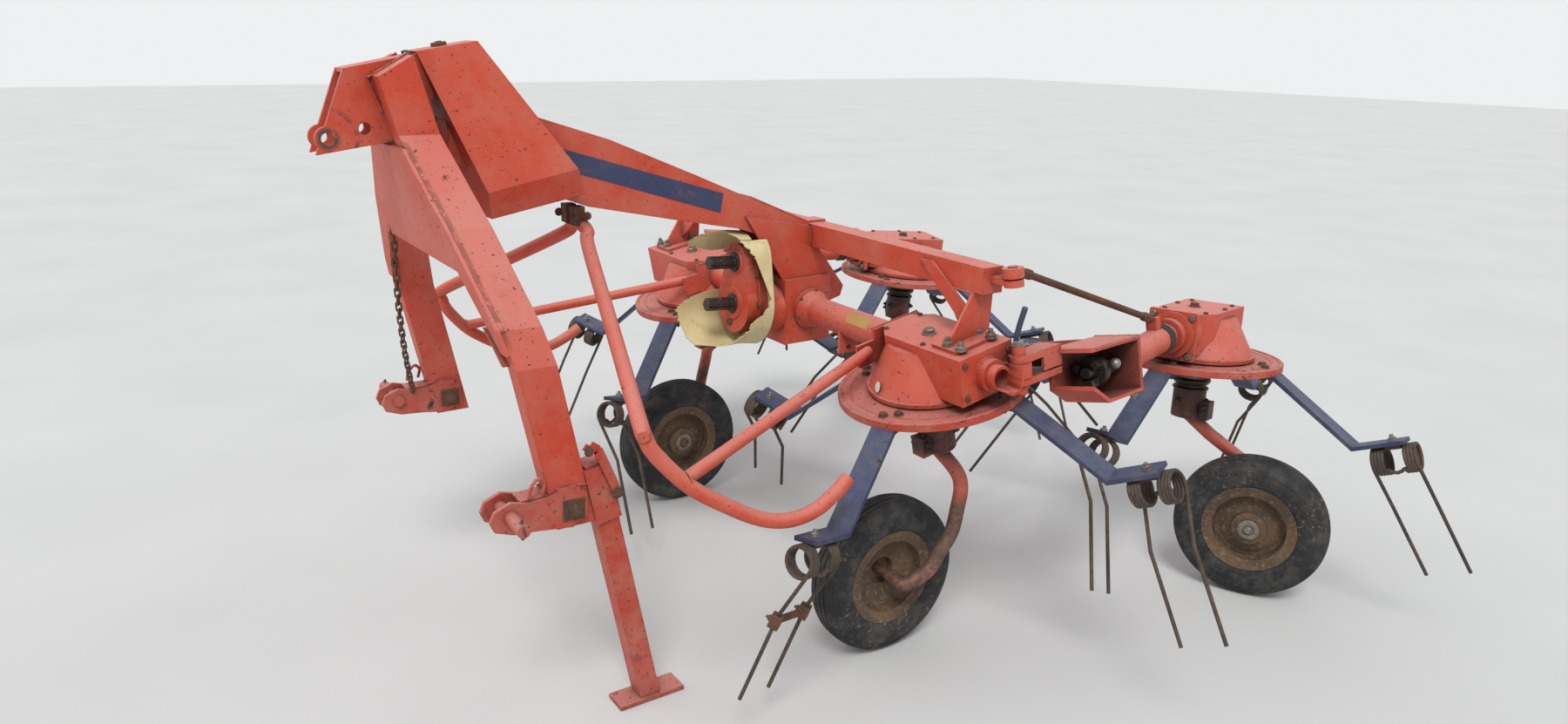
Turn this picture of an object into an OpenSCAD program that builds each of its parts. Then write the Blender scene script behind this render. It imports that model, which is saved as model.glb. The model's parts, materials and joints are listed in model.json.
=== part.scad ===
// Four-rotor mounted hay tedder, outer rotors swung back for transport.
// The tractor side faces -Y, up is +Z, the machine's left side is +X.
// The ground is Z = 0, under the tyres and the foot of the stand.

/* [Rotors] */
// Distance from the middle plane to an inner rotor's axis
rotor_x = 545; // [500:1:620]
// Spacing of an inner and an outer rotor at work
rotor_pitch = 1091; // [1040:1:1200]
// Height of an inner rotor's disc at its axis
disc_z = 675; // [640:1:720]
// Forward lean of the rotor axes in degrees
lean = 10.9; // [6:0.1:13]
// Outer radius of a rotor disc
disc_r = 227; // [205:1:235]
// Thickness of the disc plate
disc_t = 6; // [4:0.5:8]
// Depth of the disc's turned-down lip
lip_h = 16; // [12:1:22]
// Radius of the fixed spindle that a rotor turns on
spindle_r = 30; // [24:1:34]
// Length of the spindle below the disc
spindle_drop = 150; // [130:1:170]
// Direction of the first arm of the left inner rotor in degrees
phase_inner_left = 19; // [12:1:26]
// Direction of the first arm of the right inner rotor in degrees
phase_inner_right = 28; // [21:1:35]
// Direction of the first arm of the left outer rotor, folded, in degrees
phase_outer_left = 14; // [8:1:20]
// Direction of the first arm of the right outer rotor, folded, in degrees
phase_outer_right = 28.7; // [21:1:35]

/* [Tine arms] */
// Number of arms on a rotor
arm_count = 4; // [3:1:5]
// Width of the flat bar of an arm
arm_w = 60; // [45:1:70]
// Thickness of the flat bar of an arm
arm_t = 10; // [8:0.5:12]
// Radius at which the tip of an arm kicks up
arm_bend_r = 438; // [410:1:470]
// Depth of that bend below the disc
arm_drop = 158; // [140:1:170]
// Length of an arm's tip beyond the bend
arm_tip_l = 117; // [100:1:130]
// Upward angle of an arm's tip
tip_rise = 22; // [12:1:28]
// Outer radius of a tine's coil
coil_r = 38; // [32:1:42]
// Diameter of the tine wire
wire_d = 9; // [8:0.5:10]
// Turns in each coil
coil_turns = 4; // [3:1:5]
// Gap between the two coils of a tine
coil_gap = 30; // [24:1:40]
// Outward reach of a tine wire, from its coil to its tip
tip_reach = 137; // [120:1:170]
// Trailing of a tine's tip behind its coil
tip_trail = 110; // [100:1:150]
// Depth of a tine's tip below its coil's middle
tip_depth = 298; // [250:1:300]

/* [Rotor gearboxes] */
// Radius of the round skirt over the disc
skirt_r = 154; // [140:1:165]
// Height of the gearbox top above the disc
box_top = 135; // [120:1:150]
// Height of the drive shaft above the disc
drive_h = 79; // [70:1:85]
// Distance from the rotor axis to the gearbox's outer face
box_out = 196; // [185:1:205]
// Distance from the rotor axis to the gearbox's inner face
box_in = 111; // [90:1:130]
// Half of the gearbox's depth along the travel direction
box_half = 79; // [70:1:88]

/* [Hinges] */
// Distance from an inner rotor's axis out to the hinge
hinge_out = 237; // [235:1:245]
// Distance of the hinge behind the rotor axis
hinge_back = 55; // [50:1:60]
// Height where the hinge is measured
hinge_z = 700; // [690:1:715]
// Sideways lean of the hinge axis, per unit of height
hinge_lean_x = 0.119; // [0.09:0.001:0.14]
// Lengthways lean of the hinge axis, per unit of height
hinge_lean_y = 0.083; // [0.06:0.001:0.1]
// Angle between the working and the transport position
fold_angle = 105; // [95:1:108]
// Diameter of the hinge pin
hinge_pin_d = 30; // [24:1:34]
// Outer diameter of the carrying tubes
tube_d = 76; // [68:1:82]

/* [Mast] */
// Distance from the middle plane to a leg's foot
leg_x = 416; // [400:1:430]
// Place of a leg's foot behind the tractor end, along the machine
leg_y = -872; // [-885:1:-860]
// Height of the bolt at a leg's foot
leg_bolt_z = 521; // [500:1:540]
// Fore and aft width of a leg
leg_w = 84; // [76:1:92]
// Sideways thickness of a leg
leg_t = 50; // [44:1:56]
// Height of the bend in a leg
leg_bend_z = 832; // [815:1:850]
// Diameter of the hole for the top link pin
top_pin_d = 25.5; // [20:0.5:32]
// Gap between the two cheeks for the top link
cheek_gap = 54; // [46:1:60]
// Thickness of a cheek
cheek_t = 10; // [8:1:12]
// Diameter of a lower link pin
link_pin_d = 28; // [22:1:37]
// Length of the free end of a lower link pin
link_pin_free = 74; // [60:1:90]

/* [Frame] */
// Width of the main beam
beam_w = 70; // [60:1:80]
// Height of the cross beam's section
cross_h = 60; // [50:1:70]
// Half of the cross beam's length
cross_half = 700; // [670:1:715]
// Top face of the cross beam above the ground
cross_top = 981; // [970:1:990]
// Diameter of the guard hoops
hoop_d = 32; // [28:1:36]
// Diameter of the input shafts
shaft_d = 34.9; // [30:0.1:36]
// Distance between the two input shafts
shaft_pitch = 110; // [100:1:118]
// Length of the free end of an input shaft
shaft_free = 84; // [70:1:95]

/* [Wheels and stand] */
// Radius of a tyre
tyre_r = 198; // [185:1:205]
// Width of a tyre
tyre_w = 96; // [84:1:104]
// Radius of the wheel rim's edge
rim_r = 120; // [108:1:126]
// Diameter of the axle stubs
axle_d = 25; // [20:1:30]
// Diameter of the wheel legs
wheel_leg_d = 36; // [30:1:40]
// Side of the stand's square tube
stand_w = 48; // [40:1:50]
// Length of the stand's foot plate
foot_l = 160; // [130:1:180]

/* [Hidden] */
$fn = 48;
// Running gap of a round shaft in its bore
fit_gap = 0.08;
// Gap between flat faces that turn on each other
run_gap = 0.3;
// Middle of the whole part's outline on the ground, where the origin stands
box_mid = [-1.27, 163.78, 0];

paint = [0.77, 0.28, 0.19];
navy = [0.20, 0.24, 0.36];
rust = [0.36, 0.30, 0.27];
rubber = [0.15, 0.15, 0.16];
steel = [0.25, 0.24, 0.24];
rim_col = [0.45, 0.33, 0.22];
cream = [0.87, 0.83, 0.65];

// Rotor layout
hinge = [rotor_x + hinge_out, hinge_back, hinge_z];
hinge_axis = [-hinge_lean_x, -hinge_lean_y, 1];
outer_rotor = [rotor_x + rotor_pitch - hinge[0], -hinge_back, disc_z - hinge_z];
drive_y = -drive_h * sin(lean);
drive_z = disc_z + drive_h * cos(lean);
hub_r = spindle_r + fit_gap;
tooth = 360 / arm_count;

// Plain helpers
module placed() {
    translate(-box_mid) children();
}
function dist(p, q) = norm(q - p);
module rod(p, q, r) {
    v = q - p;
    translate(p) rotate([0, acos(v[2] / norm(v)), atan2(v[1], v[0])]) cylinder(r = r, h = norm(v));
}
module pipe(points, r) {
    for (i = [0 : len(points) - 2]) rod(points[i], points[i + 1], r);
    for (i = [1 : len(points) - 2]) translate(points[i]) sphere(r = r + 0.2, $fn = 32);
}
module side_plate(outline, x, t) {
    translate([x, 0, 0]) rotate([90, 0, 90]) linear_extrude(t) polygon(outline);
}
module both_sides() {
    children();
    mirror([1, 0, 0]) children();
}
module on_side(side) {
    if (side > 0) children();
    else mirror([1, 0, 0]) children();
}
module skew_box(c0, s0, c1, s1) {
    corners = [for (k = [0, 1], j = [-1, 1], i = [-1, 1])
        (k == 0 ? c0 : c1) + [i * (k == 0 ? s0 : s1)[0] / 2, j * (k == 0 ? s0 : s1)[1] / 2, 0]];
    polyhedron(corners, [[0, 1, 3, 2], [4, 6, 7, 5], [0, 4, 5, 1], [1, 5, 7, 3], [3, 7, 6, 2], [2, 6, 4, 0]]);
}
module hinge_tilt() {
    rotate(a = acos(1 / norm(hinge_axis)), v = cross([0, 0, 1], hinge_axis)) children();
}
module inner_rotor() {
    translate([rotor_x, 0, disc_z]) rotate([lean, 0, 0]) children();
}
module outer_unit() {
    translate(hinge) rotate(a = fold_angle, v = hinge_axis) children();
}
module outer_rotor() {
    outer_unit() translate(outer_rotor) rotate([lean, 0, 0]) children();
}

// Mast
head_front = [[-1224, 1217], [-1157, 1385], [-1011, 1414], [-960, 1414], [-1000, 1252], [-1072, 1239]];
top_hole = [-1199, 1248];
spare_hole = [-1125, 1266];
cheek_x = cheek_gap / 2;
leg_foot = [leg_x, leg_y, leg_bolt_z - 42];
leg_bend = [leg_x, leg_y - 67, leg_bend_z];
leg_rake = (leg_bend[1] - leg_y) / (leg_bend_z - leg_bolt_z + 42);
web_rake = 0.227;
upper_w = 1.32 * leg_t;
head_x = cheek_x + cheek_t;
knee_z = 1256;
// A leg's upper part, from the bend to the knee under the head: how far it still has to go sideways, and the share of the height
leg_curve = [[1, 0], [0.9, 0.18], [0.5, 0.6], [0, 1]];
leg_upper = [for (c = leg_curve) [head_x + upper_w / 2 + c[0] * (leg_x - head_x - upper_w / 2),
    leg_bend[1] - web_rake * c[1] * (knee_z - leg_bend_z), leg_bend_z + c[1] * (knee_z - leg_bend_z)]];
leg_knee = leg_upper[3];
leg_top = [head_x + leg_t / 2, leg_knee[1] - 36, 1412];

module mast_head() {
    color(paint) {
        for (x = [cheek_x, -cheek_x - cheek_t])
            difference() {
                side_plate(head_front, x, cheek_t);
                for (h = [top_hole, spare_hole])
                    translate([x - 1, h[0], h[1]]) rotate([0, 90, 0]) cylinder(d = top_pin_d, h = cheek_t + 2);
            }
        // Bridge between the cheeks, behind the top link's room
        side_plate([[-1060, 1300], [-1060, 1392], [-960, 1412], [-990, 1290]], -cheek_x, cheek_gap);
        // Folded top between the cheeks
        side_plate([[-1157, 1377], [-1157, 1385], [-1011, 1414], [-960, 1414], [-960, 1404], [-1011, 1404]], -cheek_x, cheek_gap);
    }
}
module leg(side) {
    color(paint) on_side(side) {
        difference() {
            skew_box(leg_foot, [leg_t, leg_w], leg_bend, [leg_t, leg_w]);
            translate([leg_x - leg_t, leg_y - 8, leg_bolt_z]) rotate([0, 90, 0]) cylinder(d = 24, h = 2 * leg_t);
        }
        for (i = [0 : 2])
            skew_box(leg_upper[i], [i == 0 ? leg_t : upper_w, leg_w], leg_upper[i + 1], [upper_w, leg_w]);
        // Upper end along the cheek, cut off on a slant
        difference() {
            skew_box(leg_knee, [upper_w, leg_w], leg_top, [leg_t, leg_w]);
            side_plate([[-1130, 1356], [-1010, 1424], [-1130, 1460]], head_x - 1, 2 * leg_t);
        }
        // Stiffening strip along the front inner edge
        strip = [leg_upper[1][0] - upper_w / 2, leg_upper[1][1] - leg_w / 2, leg_upper[1][2] - 6];
        skew_box([leg_x - leg_t / 2 + 5, leg_bend[1] - leg_w / 2 - 4, leg_bend_z], [10, 16], strip + [0, -4, 0], [10, 16]);
    }
}
module mast_web() {
    low_z = 1003;
    lobe_z = 862;
    tilt = atan(web_rake);
    function out_x(z) = lookup(z, [for (p = leg_upper) [p[2], p[0] + upper_w / 2 - (p[2] == leg_bend_z ? 8 : 0)]]);
    side = [[out_x(1232), 1232], [out_x(leg_upper[2][2]), leg_upper[2][2]], [out_x(leg_upper[1][2]), leg_upper[1][2]],
        [out_x(lobe_z), lobe_z], [out_x(lobe_z) - 30, lobe_z], [out_x(low_z) - 76, low_z]];
    half = [for (p = side) [p[0], (p[1] - leg_bend_z) / cos(tilt)]];
    color(paint) translate([0, leg_bend[1] - leg_w / 2 - run_gap, leg_bend_z]) rotate([tilt, 0, 0]) rotate([90, 0, 0])
        linear_extrude(8) polygon([each half, each [for (i = [5 : -1 : 0]) [-half[i][0], half[i][1]]]]);
}
cover_top = [[42, -1012, 1419], [42, -882, 1441]];
cover_low = [[118, -906, 1131], [118, -698, 1171]];
module cover_block(t) {
    a = cover_top[0];
    b = cover_top[1];
    c = cover_low[0];
    d = cover_low[1];
    drop = t > 0 ? 61 : 60;
    up = [[a[0] - t, a[1] + t, a[2] - t], [b[0] - t, b[1] - t, b[2] - t]];
    mid = [[c[0] - t, c[1] + t, c[2]], [d[0] - t, d[1] - t, d[2]]];
    low = [[c[0] - 22 - t, c[1] + 12 + t, c[2] - drop], [d[0] - 22 - t, d[1] + 24 - t, d[2] - drop]];
    rings = [up, mid, low];
    pts = [for (r = rings) each [r[0], r[1], [-r[1][0], r[1][1], r[1][2]], [-r[0][0], r[0][1], r[0][2]]]];
    polyhedron(pts, [[3, 2, 1, 0], for (k = [0, 4], j = [0 : 3]) [k + (j + 1) % 4, k + 4 + (j + 1) % 4, k + 4 + j, k + j],
        [8, 9, 10, 11]]);
}
module mast_cover() {
    color(paint) difference() {
        cover_block(0);
        cover_block(3);
        // Notches that the beam and the cheeks pass through
        translate([0, 0, -run_gap]) side_plate(beam_outline, -beam_w / 2 - run_gap, beam_w + 2 * run_gap);
        translate([0, 0, run_gap]) side_plate(beam_outline, -beam_w / 2 - run_gap, beam_w + 2 * run_gap);
        for (x = [cheek_x, -cheek_x - cheek_t])
            translate([0, run_gap, 0]) side_plate(head_front, x - run_gap, cheek_t + 2 * run_gap);
        side_plate([[-1070, 1299], [-1070, 1416], [-959, 1416], [-989, 1289]], -cheek_x, cheek_gap);
    }
}

// Main beam, gussets and cross beam
beam_front = -960;
beam_top_front = 1345;
beam_rear = -8;
beam_outline = [[beam_front, 1190], [beam_front, beam_top_front], [-583, 1224], [-352, 1128], [beam_rear, cross_top],
    [beam_rear, cross_top - cross_h - 14], [-225, 984], [-426, 1025], [-643, 1072]];
gusset_outline = [[-212, 1014], [beam_rear - run_gap, 975], [beam_rear - run_gap, cross_top - cross_h - run_gap],
    [14, cross_top - cross_h - run_gap], [106, 800], [96, 772], [60, 762], [-40, 751]];
module main_beam() {
    color(paint) {
        side_plate(beam_outline, -beam_w / 2, beam_w);
        difference() {
            for (x = [beam_w / 2, -beam_w / 2 - 8]) side_plate(gusset_outline, x, 8);
            translate([-60, drive_y, drive_z]) rotate([0, 90, 0]) cylinder(r = tube_d / 2 + run_gap, h = 120);
        }
    }
}
cross_y = beam_rear + 30;
tongue_z = cross_top - 27;
tongue_end = hinge + hinge_axis * (tongue_z - hinge_z);
pin_l = (tongue_z - hinge_z) * norm(hinge_axis);
module cross_beam() {
    color(paint) {
        translate([-cross_half, cross_y - 30, cross_top - cross_h]) cube([2 * cross_half, 60, cross_h]);
        both_sides() {
            translate([cross_half, tongue_end[1] - 20, tongue_z - 7]) cube([tongue_end[0] - cross_half - 4, 40, 14]);
            translate(hinge) hinge_tilt() {
                translate([0, 0, pin_l - 8]) cylinder(r = 22, h = 16);
                translate([0, 0, pin_l]) cylinder(r = stay_pin_r, h = 38);
            }
        }
        // Splice plate over the joint with the main beam
        splice = atan2(1128 - cross_top, 352 + beam_rear);
        translate([-26, beam_rear, cross_top]) rotate([-splice, 0, 0]) translate([0, -200, 0]) cube([52, 200, 6]);
        translate([-26, beam_rear, cross_top]) cube([52, 60, 6]);
    }
}
bracket_x = rotor_x + box_out - 70;
module support_brackets() {
    foot_z = box_top;
    color(paint) both_sides() {
        inner_rotor() translate([bracket_x - rotor_x - 40, -60, foot_z]) cube([80, 124, 8]);
        difference() {
            translate([bracket_x - 4, 0, 0]) rotate([90, 0, 90]) linear_extrude(8)
                polygon([[-82, disc_z + box_top - 8], [46, disc_z + box_top + 16], [cross_y + 28, cross_top - cross_h],
                    [cross_y - 30, cross_top - cross_h]]);
            inner_rotor() translate([-300, -300, foot_z - 92]) cube([700, 600, 100]);
        }
        // Diagonal brace up to the cross beam's front
        translate([0, cross_y - 30, 0]) rotate([90, 0, 0]) linear_extrude(8)
            polygon([[bracket_x - 4, 830], [bracket_x - 4, 880], [bracket_x - 132, cross_top - 12],
                [bracket_x - 176, cross_top - 12]]);
    }
}

// Cross tube and input gearbox
tube_r = tube_d / 2;
input_y = -226;
input_tilt = 3.9;
input_z = 781;
module cross_tube() {
    half = rotor_x - box_in;
    color(paint) {
        translate([-half, drive_y, drive_z]) rotate([0, 90, 0]) cylinder(r = tube_r, h = 2 * half);
        both_sides() {
            translate([58, drive_y, drive_z]) rotate([0, 90, 0]) cylinder(r = tube_r + 18, h = 12);
            translate([70, drive_y, drive_z]) rotate([0, 90, 0]) cylinder(r1 = tube_r + 14, r2 = tube_r, h = 26);
            // Lug with a hole under the tube
            difference() {
                translate([232, drive_y - 34, drive_z - 78]) cube([10, 60, 66]);
                translate([228, drive_y - 4, drive_z - 62]) rotate([0, 90, 0]) cylinder(r = 8, h = 20);
            }
        }
    }
}
module input_frame() {
    translate([0, input_y, input_z]) rotate([-input_tilt, 0, 0]) children();
}
module case_outline(extra) {
    circle(r = 78 + extra);
    translate([0, -shaft_pitch]) circle(r = 50 + extra);
    polygon([[-78 - extra, 0], [78 + extra, 0], [50 + extra, -shaft_pitch], [-50 - extra, -shaft_pitch]]);
}
module input_gearbox() {
    color(paint) difference() {
        union() {
            // Bevel gear housing round the middle of the cross tube
            translate([-58, drive_y - 84, drive_z - 92]) cube([116, 150, 178]);
            translate([0, drive_y - 84, drive_z]) rotate([90, 0, 0]) cylinder(r = 66, h = 40);
            // Spur gear case with two lobes at the front
            input_frame() rotate([-90, 0, 0]) {
                linear_extrude(66) case_outline(0);
                cylinder(r = 58, h = 110);
            }
        }
        translate([-60, drive_y, drive_z]) rotate([0, 90, 0]) cylinder(r = tube_r + run_gap, h = 120);
        for (x = [beam_w / 2 - run_gap, -beam_w / 2 - 8 - run_gap]) side_plate(gusset_outline, x, 8 + 2 * run_gap);
    }
}
module input_shafts() {
    color(steel) input_frame() rotate([90, 0, 0]) for (z = [0, shaft_pitch]) translate([0, z, 0]) {
        cylinder(d = shaft_d, h = shaft_free);
        cylinder(d = shaft_d + 14, h = 8);
    }
}
module guard_profile(r) {
    circle(r = r);
    translate([0, -shaft_pitch]) circle(r = r - 28);
    polygon([[-r, 0], [r, 0], [r - 28, -shaft_pitch], [28 - r, -shaft_pitch]]);
}
module shaft_guard() {
    color(cream) input_frame() rotate([-90, 0, 0]) difference() {
        union() {
            translate([0, 0, 6]) linear_extrude(4) guard_profile(112);
            difference() {
                translate([0, 0, -74]) linear_extrude(84) guard_profile(112);
                translate([0, 0, -75]) linear_extrude(86) guard_profile(108);
                // Broken away at the sides, leaving a low bowl and a high arc
                translate([-130, -shaft_pitch + 6, -80]) cube([260, 70, 78]);
                translate([-130, -70, -80]) rotate([0, 0, 12]) cube([70, 100, 66]);
            }
        }
        translate([0, 0, -1]) linear_extrude(20) case_outline(run_gap);
    }
}

// Inner rotor gearboxes with their coupling stubs and hinge lugs
module rotor_housing(inward, outward) {
    rotate([0, 0, 0]) translate([0, 0, 4]) {
        cylinder(r = skirt_r, h = 10);
        translate([0, 0, 10]) cylinder(r1 = skirt_r - 6, r2 = box_half + 16, h = box_top - 34);
    }
    // Gear case, pointed at its inner end
    translate([0, 0, 23]) linear_extrude(box_top - 23)
        polygon([[outward, -box_half], [outward, box_half], [-inward * 0.55, box_half], [-inward, 40], [-inward, -40],
            [-inward * 0.55, -box_half]]);
    // Fixed spindle
    translate([0, 0, -spindle_drop]) cylinder(r = spindle_r, h = spindle_drop + 8);
}
lug_z = 44;
lug_h = 34;
module inner_gearboxes() {
    color(paint) both_sides() {
        difference() {
            union() {
                inner_rotor() rotor_housing(box_in, box_out);
                // Flange plate at the inner end, with a tab for the hoop's strut
                inner_rotor() translate([-box_in - 8, -72, 26]) cube([8.5, 144, 106]);
                inner_rotor() translate([-box_in - 8, -126, 50]) cube([8, 60, 56]);
            }
            translate([rotor_x - box_in - 30, drive_y, drive_z]) rotate([0, 90, 0]) cylinder(r = tube_r + run_gap, h = 30);
        }
        translate([rotor_x + box_out, drive_y, drive_z]) rotate([0, 90, 0]) cylinder(r = 37, h = 22);
        // Half-cut coupling tube
        difference() {
            translate([rotor_x + box_out + 22, drive_y, drive_z]) rotate([0, 90, 0]) cylinder(r = 28, h = 62);
            translate([rotor_x + box_out + 22, drive_y, drive_z]) rotate([0, 90, 0]) cylinder(r = 21, h = 80);
            translate([rotor_x + box_out + 44, drive_y - 40, drive_z - 18]) cube([60, 60, 70]);
        }
        // Hinge lug between the boom's fork arms
        translate(hinge) hinge_tilt() {
            translate([0, 0, lug_z]) cylinder(r = 27, h = lug_h);
            translate([box_out - hinge_out, -24, lug_z]) cube([hinge_out - box_out, 48, lug_h]);
            translate([0, 0, 6]) cylinder(d = hinge_pin_d, h = 110);
        }
    }
}

// Outer units
boom_rise = 4;
stay_pin_r = 10;
fork_end = 92;
module yoke_arm(z, h) {
    difference() {
        translate([0, 0, z]) linear_extrude(h) difference() {
            union() {
                circle(r = 24);
                polygon([[0, -24], [0, 24], [fork_end + 20, 10], [fork_end + 20, -44]]);
            }
            circle(d = hinge_pin_d + 2 * fit_gap);
        }
    }
}
gear_in = [outer_rotor[0] - box_out, outer_rotor[1] + drive_y, outer_rotor[2] + drive_z - disc_z];
module boom(side) {
    color(paint) on_side(side) outer_unit() {
        hinge_tilt() {
            yoke_arm(lug_z + lug_h + 1, 16);
            yoke_arm(lug_z - 17, 16);
        }
        // Open box round the universal joint
        difference() {
            translate([fork_end, -20, 0]) rotate([90, 0, 0]) linear_extrude(110)
                polygon([[0, -4], [0, 92], [250, 92], [250, -42], [70, -42]]);
            translate([fork_end - 10, -20 - 8, 0]) rotate([90, 0, 0]) linear_extrude(120)
                polygon([[-10, 18], [-10, 82], [248, 82], [248, -34], [84, -34]]);
        }
        translate([fork_end + 240, -130, -42]) cube([12, 110, 134]);
        // Tube to the outer gearbox
        tube_start = gear_in - [gear_in[0] - fork_end - 240, 0, (gear_in[0] - fork_end - 240) * tan(boom_rise)];
        rod(tube_start, gear_in - [12, 0, 0], tube_r - 3);
        translate(gear_in - [30, 0, 0]) rotate([0, 90, 0]) cylinder(r = tube_r + 8, h = 30 - run_gap);
        // Bent flat bar behind the hinge
        translate([fork_end + 80, -20, 58]) difference() {
            cylinder(r = 118, h = 32);
            translate([0, 0, -1]) cylinder(r = 110, h = 40);
            translate([-200, -200, -1]) cube([400, 200, 40]);
        }
        // Stay rod from the tongue of the cross beam to the tube
        stay_top = hinge_axis * (tongue_z - hinge_z + 26);
        stay_low = gear_in - [gear_in[0] - 560, 0, -tube_r - 14];
        rod(stay_top + [18, 0, 0], stay_low, 8);
        difference() {
            hinge_tilt() translate([0, 0, pin_l + 12]) cylinder(r = 24, h = 22);
            hinge_tilt() translate([0, 0, pin_l]) cylinder(r = stay_pin_r + fit_gap, h = 40);
        }
        translate(stay_low - [14, 14, 30]) cube([28, 28, 36]);
    }
}
module outer_gearbox(side) {
    color(paint) on_side(side) outer_rotor() {
        rotor_housing(box_out - 30, box_in);
        translate([-box_out, 0, drive_h]) rotate([0, 90, 0]) cylinder(r = 62, h = 60);
    }
}
module rotor_hub(side) {
    color(steel) on_side(side) outer_rotor() hub();
}
module hub() {
    difference() {
        union() {
            translate([0, 0, -62]) cylinder(r = 46, h = 62 + 3);
            translate([0, 0, -disc_t - run_gap - 10]) cylinder(r = 80, h = 10);
        }
        translate([0, 0, -70]) cylinder(r = hub_r, h = 90);
    }
}
module disc() {
    rotate_extrude($fn = 96) difference() {
        translate([46 + run_gap, -lip_h]) square([disc_r - 46 - run_gap, lip_h]);
        translate([46, -lip_h - 1]) square([disc_r - 46 - 12, lip_h - disc_t + 1]);
    }
}
module inner_disc(side) {
    color(paint) on_side(side) inner_rotor() {
        disc();
        difference() {
            union() {
                translate([0, 0, -62]) cylinder(r = 48, h = 62);
                translate([0, 0, -disc_t - 10]) cylinder(r = 80, h = 10);
            }
            translate([0, 0, -70]) cylinder(r = hub_r, h = 90);
        }
    }
}
module outer_disc(side) {
    color(paint) on_side(side) outer_rotor() disc();
}
// Arms are seated on the lip's lower edge and on a block under the plate
arm_in_r = 104;
tip_dir = [cos(tip_rise), sin(tip_rise)];
module arm() {
    top = -lip_h;
    end = [arm_bend_r, -arm_drop] + arm_tip_l * tip_dir;
    under = arm_t * [sin(tip_rise), -cos(tip_rise)];
    translate([0, arm_w / 2, 0]) rotate([90, 0, 0]) linear_extrude(arm_w)
        polygon([[arm_in_r, top], [disc_r, top], [arm_bend_r, -arm_drop], end, end + under,
            [arm_bend_r - 1, -arm_drop - arm_t * 1.15], [disc_r - 5, top - arm_t], [arm_in_r, top - arm_t]]);
    translate([arm_in_r, -arm_w / 2, top]) cube([34, arm_w, lip_h - disc_t]);
}
module arms(phase) {
    color(navy) for (k = [0 : arm_count - 1]) rotate([0, 0, phase + k * tooth]) arm();
}
// A tine hangs under an arm's tip, its coils' axis along the tip
coil_at = 86;
coil_l = coil_turns * wire_d * 1.1;
module coil() {
    pitch = coil_l / coil_turns;
    outer = [for (i = [0 : coil_turns - 1]) each [[coil_r - 1.6, i * pitch], [coil_r, (i + 0.5) * pitch]]];
    rotate([0, 90, 0]) rotate_extrude($fn = 32)
        polygon([each outer, [coil_r - 1.6, coil_l], [coil_r - wire_d, coil_l], [coil_r - wire_d, 0]]);
}
module tine(hand) {
    wire_r = coil_r - wire_d / 2;
    centre = [arm_bend_r, 0, -arm_drop] + coil_at * [tip_dir[0], 0, tip_dir[1]]
        + (arm_t + coil_r + run_gap) * [tip_dir[1], 0, -tip_dir[0]];
    module coils() {
        for (x = [coil_gap / 2, -coil_gap / 2 - coil_l]) translate([x, 0, 0]) coil();
        // Clamp between the coils, seated on the arm's tip
        translate([-coil_gap / 2 - 4, -16, coil_r - wire_d]) cube([coil_gap + 8, 32, wire_d]);
    }
    translate(centre) rotate([0, -tip_rise, 0]) coils();
    for (x = [-1, 1] * (coil_gap / 2 + coil_l - wire_d / 2)) {
        start = centre + x * [tip_dir[0], 0, tip_dir[1]] + [0.6 * wire_r * tip_dir[1], -0.8 * wire_r * hand,
            -0.6 * wire_r * tip_dir[0]];
        knee = centre + x * [tip_dir[0], 0, tip_dir[1]] + [0.34 * tip_reach, 0.36 * tip_trail * hand,
            -0.39 * tip_depth];
        tip = centre + x * [tip_dir[0], 0, tip_dir[1]] + [tip_reach, tip_trail * hand, -tip_depth];
        pipe([start, knee, tip], wire_d / 2);
    }
}
module tines(phase, hand) {
    color(rust) for (k = [0 : arm_count - 1]) rotate([0, 0, phase + k * tooth]) tine(hand);
}

// Wheels
inner_wheel = [rotor_x - 13, -115, tyre_r];
outer_wheel_offset = [227, 18];
outer_wheel_yaw = 117.6;
module wheel_place_inner() {
    translate(inner_wheel) rotate([0, 90, 0]) children();
}
outer_centre = outer_place(outer_rotor);
function rot_about(v, a, p) = p * cos(a) + cross(v, p) * sin(a) + v * (v * p) * (1 - cos(a));
function outer_place(p) = hinge + rot_about(hinge_axis / norm(hinge_axis), fold_angle, p);
outer_wheel = [outer_centre[0] + outer_wheel_offset[0], outer_centre[1] + outer_wheel_offset[1], tyre_r];
module wheel_place_outer() {
    translate(outer_wheel) rotate([0, 0, outer_wheel_yaw]) rotate([0, 90, 0]) children();
}
rim_well = rim_r - 16;
module tyre() {
    half = tyre_w / 2;
    h = tyre_r - rim_r;
    // Half of the section, from the bead out to the tread
    section = [[rim_well + run_gap, half - 18.4], [rim_r, half - 12.5], [rim_r + 0.08 * h, half - 4],
        [rim_r + 0.25 * h, half - 0.5], [rim_r + 0.42 * h, half], [rim_r + 0.6 * h, half - 1.5],
        [rim_r + 0.78 * h, half - 6], [rim_r + 0.9 * h, half - 13], [rim_r + 0.975 * h, half - 25],
        [tyre_r, half - 40]];
    n = len(section);
    color(rubber) rotate_extrude($fn = 96)
        polygon([each section, each [for (i = [0 : n - 1]) [section[n - 1 - i][0], -section[n - 1 - i][1]]]]);
}
module rim() {
    half = tyre_w / 2;
    color(rim_col) difference() {
        rotate_extrude($fn = 96) polygon([[10, -26], [34, -26], [36, -6], [70, 4], [rim_well - 14, 10],
            [rim_well - 10, half - 14], [rim_r, half - 8], [rim_r, half - 12], [rim_well, half - 18],
            [rim_well, -half + 18], [rim_r, -half + 12], [rim_r, -half + 8], [rim_well - 10, -half + 14],
            [rim_well - 14, 0], [70, -6], [46, -12], [44, -34], [30, -40], [10, -40]]);
        translate([0, 0, -60]) cylinder(d = axle_d + 2 * fit_gap, h = 120);
    }
}
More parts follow.
